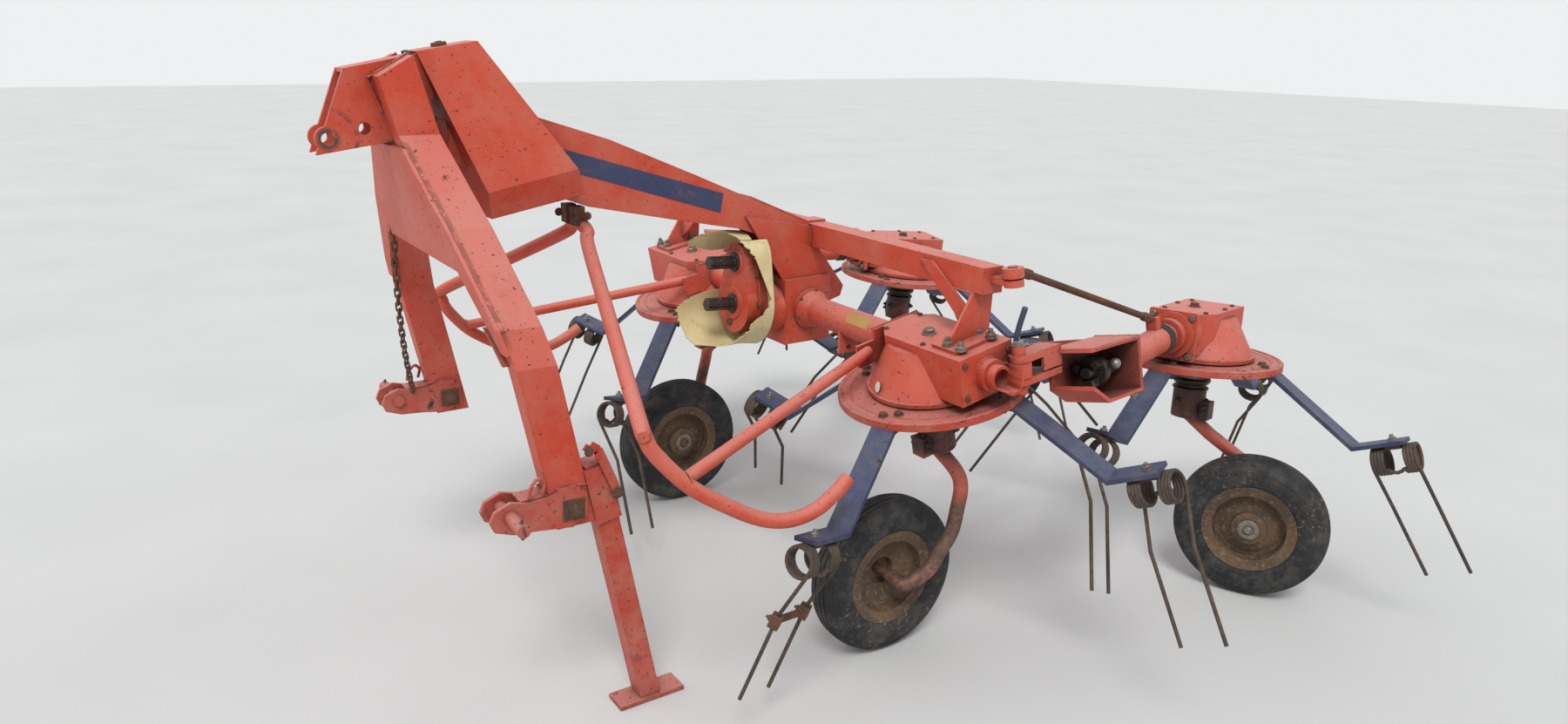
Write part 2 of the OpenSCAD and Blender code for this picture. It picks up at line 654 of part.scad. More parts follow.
module inner_wheel_legs() {
    r = wheel_leg_d / 2;
    side_x = inner_wheel[0] + tyre_w / 2 + r + 14;
    color(paint) both_sides() {
        inner_rotor() clamp();
        pipe([[rotor_x, 30, 500], [side_x - 24, 40, 462], [side_x - 4, 44, 424], [side_x, 16, 308], [side_x, -52, 224],
            [side_x - 10, inner_wheel[1], tyre_r], [inner_wheel[0] + 30, inner_wheel[1], tyre_r]], r);
        translate([inner_wheel[0] - 44, inner_wheel[1], tyre_r]) rotate([0, 90, 0]) cylinder(d = axle_d, h = 100);
    }
}
module clamp() {
    difference() {
        union() {
            translate([0, 0, -spindle_drop - 26]) cylinder(r = 44, h = 84);
            translate([-20, -64, -spindle_drop - 26]) cube([40, 60, 50]);
        }
        translate([0, 0, -spindle_drop]) cylinder(r = spindle_r, h = 90);
    }
}
module outer_wheel_leg(side) {
    r = wheel_leg_d / 2;
    out = [cos(outer_wheel_yaw), sin(outer_wheel_yaw), 0];
    start = outer_centre + [12, -8, -172];
    color(paint) on_side(side) {
        outer_rotor() clamp();
        back = outer_wheel + out * (tyre_w / 2 + r + 16);
        pipe([start, start + [50, 34, -50], [back[0], back[1], tyre_r + 120], back, outer_wheel + out * 34], r);
        translate(outer_wheel - out * 40) rotate([0, 0, outer_wheel_yaw]) rotate([0, 90, 0]) cylinder(d = axle_d, h = 90);
    }
}

// Guard hoops, hitch brackets and stand
module hoop(side) {
    r = hoop_d / 2;
    color(paint) on_side(side) {
        pipe([[22, -664, 1038], [46, -652, 1016], [84, -668, 990], [626, -812, 756], [640, -808, 728], [650, -792, 692],
            [672, -732, 622], [690, -660, 570], [706, -589, 530], [714, -528, 514], [716, -465, 519], [712, -410, 542],
            [706, -368, 568]], r);
        rod([668, -740, 634], [rotor_x - box_in + 12.9 + run_gap, -118, 744], 14);
    }
}
link_pin = [leg_x - leg_t / 2 - 10, leg_y - 142, leg_bolt_z + 14];
module hitch_brackets() {
    plate = [[-1048, 510], [-1056, 530], [-1046, 552], [-1012, 566], [-975, 556], [-930, 558], [-900, 572], [-862, 566],
        [-850, 552], [-850, 500], [-884, 482], [-960, 492], [-1010, 496]];
    color(paint) both_sides() {
        difference() {
            union() {
                for (x = [leg_x + leg_t / 2, leg_x - leg_t / 2 - 10]) side_plate(plate, x, 10);
                side_plate([[-990, 553], [-990, 561], [-925, 561], [-925, 553]], leg_x - leg_t / 2, leg_t);
            }
            skew_box(leg_foot, [leg_t + 2 * run_gap, leg_w + 2 * run_gap],
                leg_bend, [leg_t + 2 * run_gap, leg_w + 2 * run_gap]);
        }
        translate([leg_x - leg_t / 2 - 22, leg_y - 8, leg_bolt_z]) rotate([0, 90, 0]) cylinder(d = 23.4, h = leg_t + 44);
    }
    color(steel) both_sides() {
        translate(link_pin - [8, 0, 0]) rotate([0, 90, 0])
            cylinder(d = link_pin_d, h = leg_t + 20 + 8 + link_pin_free);
    }
}
stand_len = 610;
stand_dir = [0, leg_rake, 1] / norm([0, leg_rake, 1]);
stand_tilt = atan(leg_rake);
sleeve_w = stand_w + 10;
stand_y = leg_y + leg_w / 2 + sleeve_w / 2 / cos(stand_tilt);
module stand_frame() {
    translate([leg_x, stand_y - (leg_bolt_z - 42) * leg_rake, 0]) rotate([-stand_tilt, 0, 0]) children();
}
module stand_sleeve() {
    color(paint) stand_frame() difference() {
        translate([-sleeve_w / 2, -sleeve_w / 2, leg_bolt_z - 40]) cube([sleeve_w, sleeve_w, 130]);
        translate([-stand_w / 2 - run_gap, -stand_w / 2 - run_gap, leg_bolt_z - 60])
            cube([stand_w + 2 * run_gap, stand_w + 2 * run_gap, 200]);
    }
}
module stand() {
    color(paint) {
        stand_frame() translate([-stand_w / 2, -stand_w / 2, 8]) cube([stand_w, stand_w, stand_len]);
        translate([leg_x - 32, stand_y - (leg_bolt_z - 42) * leg_rake - foot_l / 2, 0]) cube([64, foot_l, 10]);
    }
}

placed() mast_head();
placed() leg(1);  // leg_left
placed() leg(-1);  // leg_right
placed() mast_web();
placed() mast_cover();
placed() main_beam();
placed() cross_beam();
placed() support_brackets();
placed() cross_tube();
placed() input_gearbox();
placed() input_shafts();
placed() shaft_guard();
placed() inner_gearboxes();
placed() hoop(1);  // hoop_left
placed() hoop(-1);  // hoop_right
placed() hitch_brackets();
placed() stand_sleeve();
placed() inner_wheel_legs();
placed() stand();
placed() inner_disc(1);  // disc_inner_left
placed() inner_disc(-1);  // disc_inner_right
placed() outer_disc(1);  // disc_outer_left
placed() outer_disc(-1);  // disc_outer_right
placed() inner_rotor() arms(phase_inner_left);  // arms_inner_left
placed() on_side(-1) inner_rotor() arms(-phase_inner_right);  // arms_inner_right
placed() outer_rotor() arms(phase_outer_left - fold_angle);  // arms_outer_left
placed() on_side(-1) outer_rotor() arms(-phase_outer_right - fold_angle);  // arms_outer_right
placed() inner_rotor() tines(phase_inner_left, -1);  // tines_inner_left
placed() on_side(-1) inner_rotor() tines(-phase_inner_right, -1);  // tines_inner_right
placed() outer_rotor() tines(phase_outer_left - fold_angle, 1);  // tines_outer_left
placed() on_side(-1) outer_rotor() tines(-phase_outer_right - fold_angle, 1);  // tines_outer_right
placed() boom(1);  // boom_left
placed() boom(-1);  // boom_right
placed() outer_gearbox(1);  // outer_gearbox_left
placed() outer_gearbox(-1);  // outer_gearbox_right
placed() outer_wheel_leg(1);  // outer_wheel_leg_left
placed() outer_wheel_leg(-1);  // outer_wheel_leg_right
placed() rotor_hub(1);  // rotor_hub_left
placed() rotor_hub(-1);  // rotor_hub_right
placed() wheel_place_inner() tyre();  // tyre_inner_left
placed() on_side(-1) wheel_place_inner() tyre();  // tyre_inner_right
placed() wheel_place_outer() tyre();  // tyre_outer_left
placed() on_side(-1) wheel_place_outer() tyre();  // tyre_outer_right
placed() wheel_place_inner() rim();  // rim_inner_left
placed() on_side(-1) wheel_place_inner() rim();  // rim_inner_right
placed() wheel_place_outer() rim();  // rim_outer_left
placed() on_side(-1) wheel_place_outer() rim();  // rim_outer_right
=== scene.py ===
# Looks of the four-rotor hay tedder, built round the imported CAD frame
import json
import math
import random

import bmesh
import bpy
from mathutils import Matrix, Vector


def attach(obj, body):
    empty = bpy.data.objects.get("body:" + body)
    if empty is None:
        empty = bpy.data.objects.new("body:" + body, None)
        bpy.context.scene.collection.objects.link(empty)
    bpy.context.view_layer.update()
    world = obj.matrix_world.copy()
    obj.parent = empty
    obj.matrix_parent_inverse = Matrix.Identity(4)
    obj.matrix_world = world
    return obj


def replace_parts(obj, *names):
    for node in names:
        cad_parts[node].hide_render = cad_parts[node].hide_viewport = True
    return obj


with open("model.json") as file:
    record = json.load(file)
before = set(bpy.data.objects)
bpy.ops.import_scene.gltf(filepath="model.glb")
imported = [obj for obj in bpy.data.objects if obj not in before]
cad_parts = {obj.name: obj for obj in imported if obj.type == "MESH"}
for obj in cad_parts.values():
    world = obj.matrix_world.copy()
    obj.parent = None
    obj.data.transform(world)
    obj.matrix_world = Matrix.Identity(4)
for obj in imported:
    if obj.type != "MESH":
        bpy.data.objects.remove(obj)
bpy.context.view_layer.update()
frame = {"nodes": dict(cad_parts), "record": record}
NODES = frame["nodes"]
RECORD = frame["record"]

# The design's millimetres and the row frame's metres: the top link hole says where the origin went
TOP_HOLE = (0.0, -1199.0)
TOP_HOLE_Z = 1248
top_mount = next(m for m in RECORD["mounts"] if m["name"] == "top_link")
MID = Vector((TOP_HOLE[0] - 1000 * top_mount["pos_m"][0], TOP_HOLE[1] - 1000 * top_mount["pos_m"][1], 0))
MM = Matrix.Diagonal((0.001, 0.001, 0.001, 1)) @ Matrix.Translation(-MID)
HERE, MIRROR = Matrix.Identity(4), Matrix.Diagonal((-1, 1, 1, 1))
SIDES = (("left", 1), ("right", -1))


def P(*p):
    """A point of the design, in millimetres, as metres in the row frame."""
    return MM @ Vector(p)


def rot(axis, degrees):
    return Matrix.Rotation(math.radians(degrees), 4, Vector(axis))


def move(*p):
    return Matrix.Translation(Vector(p))


def sided(side):
    return HERE if side > 0 else MIRROR


FLIP, ALONG_X = rot((1, 0, 0), 180), rot((0, 1, 0), 90)

# Sizes of the design, in millimetres
ROTOR_X, PITCH, DISC_Z, LEAN = 545, 1091, 675, 10.9
DISC_R, DISC_T, LIP = 227, 6, 16
HINGE = Vector((782, 55, 700))
HINGE_AXIS = Vector((-0.119, -0.083, 1))
FOLD = 105
ARM_T, BEND_R, DROP, RISE = 10, 438, 158, 22
SHAFT_UP, LID_Z = 79, 135
COIL_R, WIRE, TURNS, COIL_GAP, COIL_AT = 38, 9, 4, 30, 86
TIP_REACH, TIP_TRAIL, TIP_DEPTH = 137, 110, 298
TYRE_R, TYRE_W, RIM_R = 198, 96, 120
DRIVE_Y = -SHAFT_UP * math.sin(math.radians(LEAN))
DRIVE_Z = DISC_Z + SHAFT_UP * math.cos(math.radians(LEAN))
PHASES = {"inner_left": 19, "inner_right": 28, "outer_left": 14, "outer_right": 28.7}

INNER = move(ROTOR_X, 0, DISC_Z) @ rot((1, 0, 0), LEAN)
UNIT = move(*HINGE) @ rot(HINGE_AXIS, FOLD)
OUTER = UNIT @ move(ROTOR_X + PITCH - HINGE.x, -HINGE.y, DISC_Z - HINGE.z) @ rot((1, 0, 0), LEAN)
OUTER_C = OUTER.translation
INNER_WHEEL = move(532, -115, TYRE_R) @ ALONG_X
OUTER_WHEEL = move(OUTER_C.x + 227, OUTER_C.y + 18, TYRE_R) @ rot((0, 0, 1), 117.6) @ ALONG_X
INPUT = move(0, -226, 781) @ rot((1, 0, 0), -3.9)


# Materials
def srgb(r, g, b):
    def lin(v):
        v /= 255
        return v / 12.92 if v <= 0.04045 else ((v + 0.055) / 1.055) ** 2.4

    return (lin(r), lin(g), lin(b), 1)


class Shader:
    """A material's nodes, made in a few words."""

    def __init__(self, name):
        self.mat = bpy.data.materials.new(name)
        self.mat.use_nodes = True
        self.tree = self.mat.node_tree
        self.bsdf = self.tree.nodes["Principled BSDF"]
        self.coord = self.node("ShaderNodeTexCoord")
        self.mat.diffuse_color = (0.5, 0.5, 0.5, 1)

    def node(self, kind, **inputs):
        n = self.tree.nodes.new(kind)
        for k, v in inputs.items():
            self.put(n.inputs[k.replace("_", " ")], v)
        return n

    def put(self, socket, value):
        if isinstance(value, bpy.types.NodeSocket):
            self.tree.links.new(value, socket)
        else:
            socket.default_value = value

    def noise(self, scale, detail=3.0, rough=0.55, distort=0.0):
        at = self.coord.outputs["Object"]
        n = self.node(
            "ShaderNodeTexNoise", Vector=at, Scale=scale, Detail=detail, Roughness=rough, Distortion=distort
        )
        return n.outputs["Fac"]

    def ramp(self, value, low, high, a=0.0, b=1.0):
        n = self.node("ShaderNodeMapRange")
        n.clamp = True
        for k, v in (("Value", value), ("From Min", low), ("From Max", high), ("To Min", a), ("To Max", b)):
            self.put(n.inputs[k], v)
        return n.outputs["Result"]

    def math(self, op, a, b=0.0):
        n = self.node("ShaderNodeMath")
        n.operation = op
        self.put(n.inputs[0], a)
        self.put(n.inputs[1], b)
        return n.outputs[0]

    def times(self, a, b):
        return self.math("MULTIPLY", a, b)

    def mix(self, fac, a, b):
        n = self.node("ShaderNodeMix")
        n.data_type = "RGBA"
        self.put(n.inputs[0], fac)
        self.put(n.inputs[6], a)
        self.put(n.inputs[7], b)
        return n.outputs[2]

    def upward(self, low=0.2, high=0.9):
        """1 on faces that look up, 0 on the sides, in the piece's own frame."""
        n = self.node("ShaderNodeSeparateXYZ", Vector=self.coord.outputs["Normal"])
        return self.ramp(n.outputs["Z"], low, high)

    def height(self, low, high):
        n = self.node("ShaderNodeSeparateXYZ", Vector=self.coord.outputs["Object"])
        return self.ramp(n.outputs["Z"], low, high)

    def edges(self, radius, low=0.02, high=0.25):
        """1 along sharp edges, within radius metres of them."""
        bevel = self.node("ShaderNodeBevel", Radius=radius)
        bevel.samples = 4
        geo = self.node("ShaderNodeNewGeometry")
        dot = self.node("ShaderNodeVectorMath")
        dot.operation = "DOT_PRODUCT"
        self.put(dot.inputs[0], bevel.outputs[0])
        self.put(dot.inputs[1], geo.outputs["Normal"])
        return self.ramp(self.math("SUBTRACT", 1.0, dot.outputs["Value"]), low, high)

    def distance(self, spot):
        """Metres from a point of the row frame."""
        n = self.node("ShaderNodeVectorMath")
        n.operation = "DISTANCE"
        self.put(n.inputs[0], self.coord.outputs["Object"])
        n.inputs[1].default_value = spot
        return n.outputs["Value"]

    def near(self, spot, reach):
        """1 at a point of the row frame, 0 beyond reach metres of it."""
        return self.ramp(self.distance(spot), reach * 0.6, reach, 1.0, 0.0)

    def crevice_shade(self, distance):
        """1 deep in corners, 0 out in the open, by ambient occlusion: the mask of painted shade."""
        n = self.node("ShaderNodeAmbientOcclusion", Distance=distance)
        n.samples = 4
        return self.ramp(n.outputs["AO"], 0.25, 0.85, 1.0, 0.0)

    def finish(self, colour, rough, metal=0.0, bump=None, depth=0.001, strength=0.4, soft=0.0015, spec=0.5):
        b = self.bsdf
        self.put(b.inputs["Base Color"], colour)
        self.put(b.inputs["Roughness"], rough)
        self.put(b.inputs["Metallic"], metal)
        b.inputs["Specular IOR Level"].default_value = spec
        normal = None
        if soft:
            bevel = self.node("ShaderNodeBevel", Radius=soft)
            bevel.samples = 4
            normal = bevel.outputs[0]
        if bump is not None:
            n = self.node("ShaderNodeBump", Height=bump, Distance=depth, Strength=strength)
            if normal is not None:
                self.put(n.inputs["Normal"], normal)
            normal = n.outputs["Normal"]
        if normal is not None:
            self.put(b.inputs["Normal"], normal)
        return self.mat


RUST = srgb(92, 58, 40)
RUST_DARK = srgb(62, 46, 40)
DUST = srgb(176, 160, 132)
# The pale tones serve for faded paint and for the painted sheen of sky light on upward faces
ORANGE, ORANGE_PALE_SHEEN = srgb(198, 68, 42), srgb(208, 122, 110)
WORN, WORN_PALE_SHEEN = srgb(182, 64, 46), srgb(192, 116, 108)
BARE_BROWN, BARE_DARK, OIL = srgb(112, 82, 66), srgb(84, 66, 56), srgb(56, 44, 40)
# The crevice tone is painted shade in corners and recesses, with some grime
CREVICE_SHADE_GRIME, RUBBED, SOOT = srgb(66, 42, 36), srgb(92, 66, 62), (0.02, 0.01, 0.01, 1)


def paint(name, body, faded_and_sheen, chips=0.5, wear=0.8, dust=0.25, rust_at=0.66, rough=0.48, scuffs=(), deep=0.06,
          dark_above=None, bare_below=None, mark=None):
    """Old farm paint: uneven, paler on top (chalked paint with a painted sheen of sky light), scuffed to
    rust at the edges and in spots.

    Scuffs are (place, reach) along an edge, and mark is the (place, radius) of a ring worn round a bore.
    Above dark_above the paint is oily, and below bare_below it is gone, both as heights in metres.
    """
    s = Shader(name)
    cloud = s.noise(3.2, 4, 0.6)
    fine = s.noise(60, 4, 0.65)
    colour = s.mix(s.ramp(cloud, 0.38, 0.68), body, s.mix(0.5, body, faded_and_sheen))
    # Upward faces turn paler: partly chalked paint, partly a painted sheen of sky light
    colour = s.mix(s.times(s.upward(0.15, 0.9), s.ramp(cloud, 0.2, 0.6, 0.65, 1.0)), colour, faded_and_sheen)
    colour = s.mix(s.ramp(s.noise(9, 5, 0.7), 0.56, 0.78, 0.0, 0.35), colour, s.mix(0.35, body, SOOT))
    # Dust and grime that settled in patches
    grime = s.times(s.ramp(s.noise(14, 6, 0.75), 0.42, 0.72), dust)
    colour = s.mix(grime, colour, DUST)
    # Corners and recesses darkened by ambient occlusion: painted shade, with some grime
    crevice_shade_mask = s.crevice_shade(deep)
    held = (0.85, 1.0) if deep > 0.1 else (0.4, 0.85)
    colour = s.mix(s.times(crevice_shade_mask, s.ramp(s.noise(20, 5, 0.7), 0.35, 0.6, *held)), colour, CREVICE_SHADE_GRIME)
    # Small specks of rust everywhere, larger flakes here and there
    specks = s.ramp(s.noise(140, 2, 0.5), 0.70 - 0.03 * chips, 0.74 - 0.03 * chips)
    flakes = s.times(
        s.ramp(s.noise(26, 6, 0.72, distort=0.6), rust_at, rust_at + 0.03),
        s.ramp(s.noise(4.5, 2), 0.46, 0.56)
    )
    worn = s.times(s.edges(0.004), s.ramp(s.noise(34, 5, 0.7), 0.50, 0.60, 0.0, wear))
    bare = s.math("MAXIMUM", s.math("MAXIMUM", specks, flakes), worn)
    for spot, reach in scuffs:
        rubbed = s.times(s.near(spot, reach), s.edges(0.022, 0.01, 0.06))
        bare = s.math("MAXIMUM", bare, s.times(rubbed, s.ramp(s.noise(40, 5, 0.7), 0.40, 0.46)))
    colour = s.mix(bare, colour, s.mix(s.ramp(fine, 0.4, 0.6), RUST, RUST_DARK))
    if mark:
        spot, radius = mark
        far = s.distance(spot)
        band = s.times(
            s.ramp(far, radius - 0.006, radius - 0.003),
            s.ramp(far, radius + 0.003, radius + 0.006, 1.0, 0.0)
        )
        bore = s.times(s.ramp(far, 0.018, 0.026, 1.0, 0.0), s.ramp(s.noise(60, 4, 0.7), 0.40, 0.50))
        rubbed = s.math("MAXIMUM", s.times(band, s.ramp(s.noise(24, 5, 0.7), 0.42, 0.54, 0.0, 0.8)), bore)
        colour = s.mix(rubbed, colour, RUBBED)
    if bare_below:
        gone = s.times(
            s.height(bare_below + 0.02, bare_below - 0.02), s.ramp(s.noise(16, 5, 0.7), 0.34, 0.46)
        )
        colour = s.mix(gone, colour, s.mix(s.ramp(fine, 0.4, 0.6), BARE_BROWN, BARE_DARK))
    if dark_above:
        oily = s.times(
            s.height(dark_above - 0.01, dark_above + 0.02),
            s.ramp(s.noise(18, 5, 0.7), 0.30, 0.50, 0.55, 0.95)
        )
        colour = s.mix(oily, colour, OIL)
    roughness = s.ramp(s.math("ADD", s.times(bare, 0.35), s.times(cloud, 0.2)), 0.0, 0.6, rough, 0.85)
    bump = s.math("SUBTRACT", s.times(fine, 0.12), s.times(bare, 0.5))
    return s.finish(colour, roughness, bump=bump, depth=0.0008, strength=0.5, spec=0.36)


def rusty(name, a, b, c, rough=0.72, metal=0.25, scale=1.0):
    """Bare weathered steel in three tones."""
    s = Shader(name)
    broad, fine = s.noise(11 * scale, 5, 0.65), s.noise(85 * scale, 4, 0.7)
    colour = s.mix(s.ramp(broad, 0.40, 0.62), a, b)
    colour = s.mix(s.ramp(fine, 0.52, 0.70), colour, c)
    colour = s.mix(s.times(s.edges(0.003), 0.35), colour, srgb(150, 140, 130))
    return s.finish(
        colour, s.ramp(fine, 0.3, 0.7, rough - 0.12, rough + 0.1), metal=metal, bump=fine, depth=0.0005,
        strength=0.5
    )


def tyre_rubber():
    s = Shader("tyre_rubber_dusty")
    broad, fine = s.noise(8, 5, 0.65), s.noise(120, 3, 0.6)
    colour = s.mix(s.ramp(broad, 0.35, 0.65), srgb(36, 37, 40), srgb(52, 52, 54))
    colour = s.mix(s.ramp(s.noise(18, 6, 0.75), 0.45, 0.75, 0.0, 0.55), colour, srgb(112, 106, 96))
    straw = s.times(s.ramp(s.noise(95, 4, 0.7), 0.60, 0.64), s.ramp(s.noise(5, 2), 0.50, 0.60))
    colour = s.mix(straw, colour, srgb(140, 120, 88))
    colour = s.mix(s.times(s.edges(0.003), 0.25), colour, srgb(96, 92, 86))
    return s.finish(
        colour, s.ramp(fine, 0.3, 0.7, 0.72, 0.92), bump=fine, depth=0.0004, strength=0.5, spec=0.3
    )


def plastic(name, body, shade, dirt, soft=0.0015):
    s = Shader(name)
    cloud, fine = s.noise(7, 4, 0.6), s.noise(90, 3, 0.6)
    colour = s.mix(s.ramp(cloud, 0.35, 0.7), body, shade)
    colour = s.mix(s.ramp(s.noise(22, 6, 0.75), 0.55, 0.78, 0.0, 0.7), colour, dirt)
    if soft:
        colour = s.mix(s.times(s.edges(0.003), 0.5), colour, dirt)
    return s.finish(
        colour, s.ramp(cloud, 0.3, 0.7, 0.42, 0.62), bump=fine, depth=0.0003, strength=0.3, soft=soft
    )


OLD = {"chips": 1.2, "wear": 1.0, "dust": 0.30, "rust_at": 0.60}
RING_MARK = (P(37, TOP_HOLE[1], TOP_HOLE_Z), 0.057)
LEG_SCUFF = [(P(160 + 80 * k, -1066 + 22 * k, 1200 - 90 * k), 0.075) for k in range(4)]
M = {
    "orange": paint("paint_orange", ORANGE, ORANGE_PALE_SHEEN, chips=0.8, wear=0.9, dust=0.18),
    "leg": paint(
        "paint_orange_leg", srgb(198, 68, 44), srgb(210, 128, 116), chips=0.9, wear=1.0, dust=0.16,
        scuffs=LEG_SCUFF
    ),
    "orange_worn": paint("paint_orange_worn", WORN, WORN_PALE_SHEEN, **OLD),
    "head": paint("paint_orange_head", ORANGE, ORANGE_PALE_SHEEN, chips=0.9, wear=1.0, dust=0.18, mark=RING_MARK),
    "boom": paint("paint_orange_boom", ORANGE, ORANGE_PALE_SHEEN, chips=0.8, wear=1.0, dust=0.18, deep=0.20),
    "wheel_leg": paint("paint_worn_off_leg", WORN, WORN_PALE_SHEEN, **OLD, dark_above=0.49, bare_below=0.40),
    "outer_leg": paint("paint_oily_clamp", WORN, WORN_PALE_SHEEN, **OLD, dark_above=0.44),
    "navy": paint(
        "paint_navy", srgb(40, 50, 82), srgb(74, 83, 110), chips=1.0, wear=1.0, dust=0.18, rust_at=0.63,
        rough=0.5
    ),
    "spring": rusty("spring_wire", srgb(74, 64, 58), srgb(96, 80, 70), srgb(58, 50, 47), metal=0.35),
    "steel": rusty(
        "bare_steel", srgb(104, 98, 92), srgb(78, 68, 60), srgb(120, 92, 70), rough=0.5, metal=0.7
    ),
    "zinc": rusty(
        "zinc_bolt", srgb(150, 146, 138), srgb(122, 112, 100), srgb(112, 84, 62), rough=0.45, metal=0.75,
        scale=2
    ),
    "rust": rusty(
        "rusty_steel", srgb(100, 66, 44), srgb(74, 52, 42), srgb(128, 84, 54), rough=0.82, metal=0.1
    ),
    "rim": rusty("rim_worn", srgb(104, 80, 58), srgb(78, 62, 50), srgb(132, 116, 94), rough=0.8, metal=0.1),
    "grease": rusty(
        "greasy_steel", srgb(44, 40, 38), srgb(60, 50, 44), srgb(30, 28, 28), rough=0.42, metal=0.4
    ),
    "label": plastic("blank_label", srgb(226, 222, 212), srgb(206, 200, 188), srgb(120, 110, 96), soft=0),
    "tyre": tyre_rubber(),
    "cream": plastic("guard_plastic_old", srgb(226, 214, 164), srgb(206, 190, 138), srgb(140, 122, 88)),
    "black": plastic("black_plastic", srgb(40, 40, 42), srgb(54, 53, 52), srgb(98, 90, 78)),
    "panel": plastic("blank_panel", srgb(46, 58, 92), srgb(60, 72, 104), srgb(150, 84, 70), soft=0),
    "sticker": plastic(
        "blank_sticker", srgb(236, 204, 128), srgb(226, 190, 112), srgb(170, 140, 90), soft=0
    ),
}
BY_NODE = {
    "arms": "navy", "tines": "spring", "tyre": "tyre", "rim": "rim", "shaft_guard": "cream",
    "input_shafts": "steel", "rotor_hub": "steel", "hoop": "orange", "leg_": "leg", "disc": "orange_worn",
    "hitch": "orange_worn", "stand": "orange_worn", "mast_head": "head", "inner_wheel_legs": "wheel_leg",
    "outer_wheel_leg": "outer_leg", "boom": "boom",
}
for name, obj in NODES.items():
    key = next((BY_NODE[k] for k in BY_NODE if name.startswith(k)), "orange")
    obj.data.materials.clear()
    obj.data.materials.append(M[key])


# Mesh helpers
def make(name, bm, mat, body, smooth=35.0, at=HERE):
    """A mesh piece from bmesh data in design millimetres, riding on a body."""
    m = MM @ at
    bm.transform(m)
    if m.determinant() < 0:
        bmesh.ops.reverse_faces(bm, faces=bm.faces)
    bmesh.ops.recalc_face_normals(bm, faces=bm.faces)
    mesh = bpy.data.meshes.new(name)
    bm.to_mesh(mesh)
    bm.free()
    obj = bpy.data.objects.new(name, mesh)
    bpy.context.scene.collection.objects.link(obj)
    mesh.materials.append(M[mat])
    for poly in mesh.polygons:
        poly.use_smooth = True
    mesh.set_sharp_from_angle(angle=math.radians(smooth))
    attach(obj, body)
    return obj


def circle(radius, count, last=0):
    """Points round the origin; with last=1 the first comes again at the end."""
    turns = [2 * math.pi * k / count for k in range(count + last)]
    return [(radius * math.cos(a), radius * math.sin(a)) for a in turns]


def tube(bm, points, radius, sides=12, closed=False):
    """A round tube along points; radius is a number or one for each point."""
    pts = [Vector(p) for p in points]
    n = len(pts)
    radii = radius if isinstance(radius, (list, tuple)) else [radius] * n
    tangents = []
    for i in range(n):
        back, on = ((i - 1) % n, (i + 1) % n) if closed else (max(i - 1, 0), min(i + 1, n - 1))
        tangents.append((pts[on] - pts[back]).normalized())
    up = tangents[0].orthogonal().normalized()
    rings = []
    for i, (p, t) in enumerate(zip(pts, tangents)):
        if i:
            up = (up - t * up.dot(t)).normalized()
        side = t.cross(up)
        rings.append([bm.verts.new(p + radii[i] * (x * up + y * side)) for x, y in circle(1, sides)])
    for i in range(n if closed else n - 1):
        a, b = rings[i], rings[(i + 1) % n]
        for k in range(sides):
            bm.faces.new((a[k], a[(k + 1) % sides], b[(k + 1) % sides], b[k]))
    if not closed:
        bm.faces.new(rings[0][::-1])
        bm.faces.new(rings[-1])


def smooth_path(points, steps=6):
    """A Catmull-Rom curve through the points."""
    pts = [Vector(p) for p in points]
    pts = [2 * pts[0] - pts[1], *pts, 2 * pts[-1] - pts[-2]]
    out = []
    for i in range(1, len(pts) - 2):
        a, b, c, d = pts[i - 1 : i + 3]
        for k in range(steps):
            t = k / steps
            bend = (2 * b) + (c - a) * t + (2 * a - 5 * b + 4 * c - d) * t**2
            out.append(0.5 * (bend + (3 * b - a - 3 * c + d) * t**3))
    out.append(pts[-2])
    return out


def lathe(bm, profile, segments=48, at=HERE, closed=True):
    """A solid of revolution about Z of (radius, z) points; radius 0 closes it at a pole."""
    rings = []
    for r, z in profile:
        if r < 1e-6:
            rings.append([bm.verts.new(at @ Vector((0, 0, z)))])
        else:
            rings.append([bm.verts.new(at @ Vector((x, y, z))) for x, y in circle(r, segments)])
    pairs = list(zip(rings, rings[1:] + ([rings[0]] if closed else [])))
    for a, b in pairs:
        if len(a) == 1 and len(b) == 1:
            continue
        for k in range(segments):
            j = (k + 1) % segments
            if len(a) == 1:
                bm.faces.new((a[0], b[k], b[j]))
            elif len(b) == 1:
                bm.faces.new((a[k], a[j], b[0]))
            else:
                bm.faces.new((a[k], a[j], b[j], b[k]))


def prism(bm, outline, z0, z1, at=HERE, chamfer=0.0):
    """An outline in XY, from z0 to z1, with an optional chamfer at the top."""
    pts = [Vector((x, y, 0)) for x, y in outline]
    centre = sum(pts, Vector()) / len(pts)
    levels = [(z0, 0.0), (z1, 0.0)] if not chamfer else [(z0, 0.0), (z1 - chamfer, 0.0), (z1, chamfer)]
    rings = []
    for z, inset in levels:
        ring = []
        for p in pts:
            d = p - centre
            q = centre + d * (1 - inset / d.length)
            ring.append(bm.verts.new(at @ Vector((q.x, q.y, z))))
        rings.append(ring)
    n = len(pts)
    for a, b in zip(rings, rings[1:]):
        for k in range(n):
            bm.faces.new((a[k], a[(k + 1) % n], b[(k + 1) % n], b[k]))
    bm.faces.new(rings[0][::-1])
    bm.faces.new(rings[-1])


def hexagon(r):
    return [(r * math.cos(math.pi / 3 * k), r * math.sin(math.pi / 3 * k)) for k in range(6)]


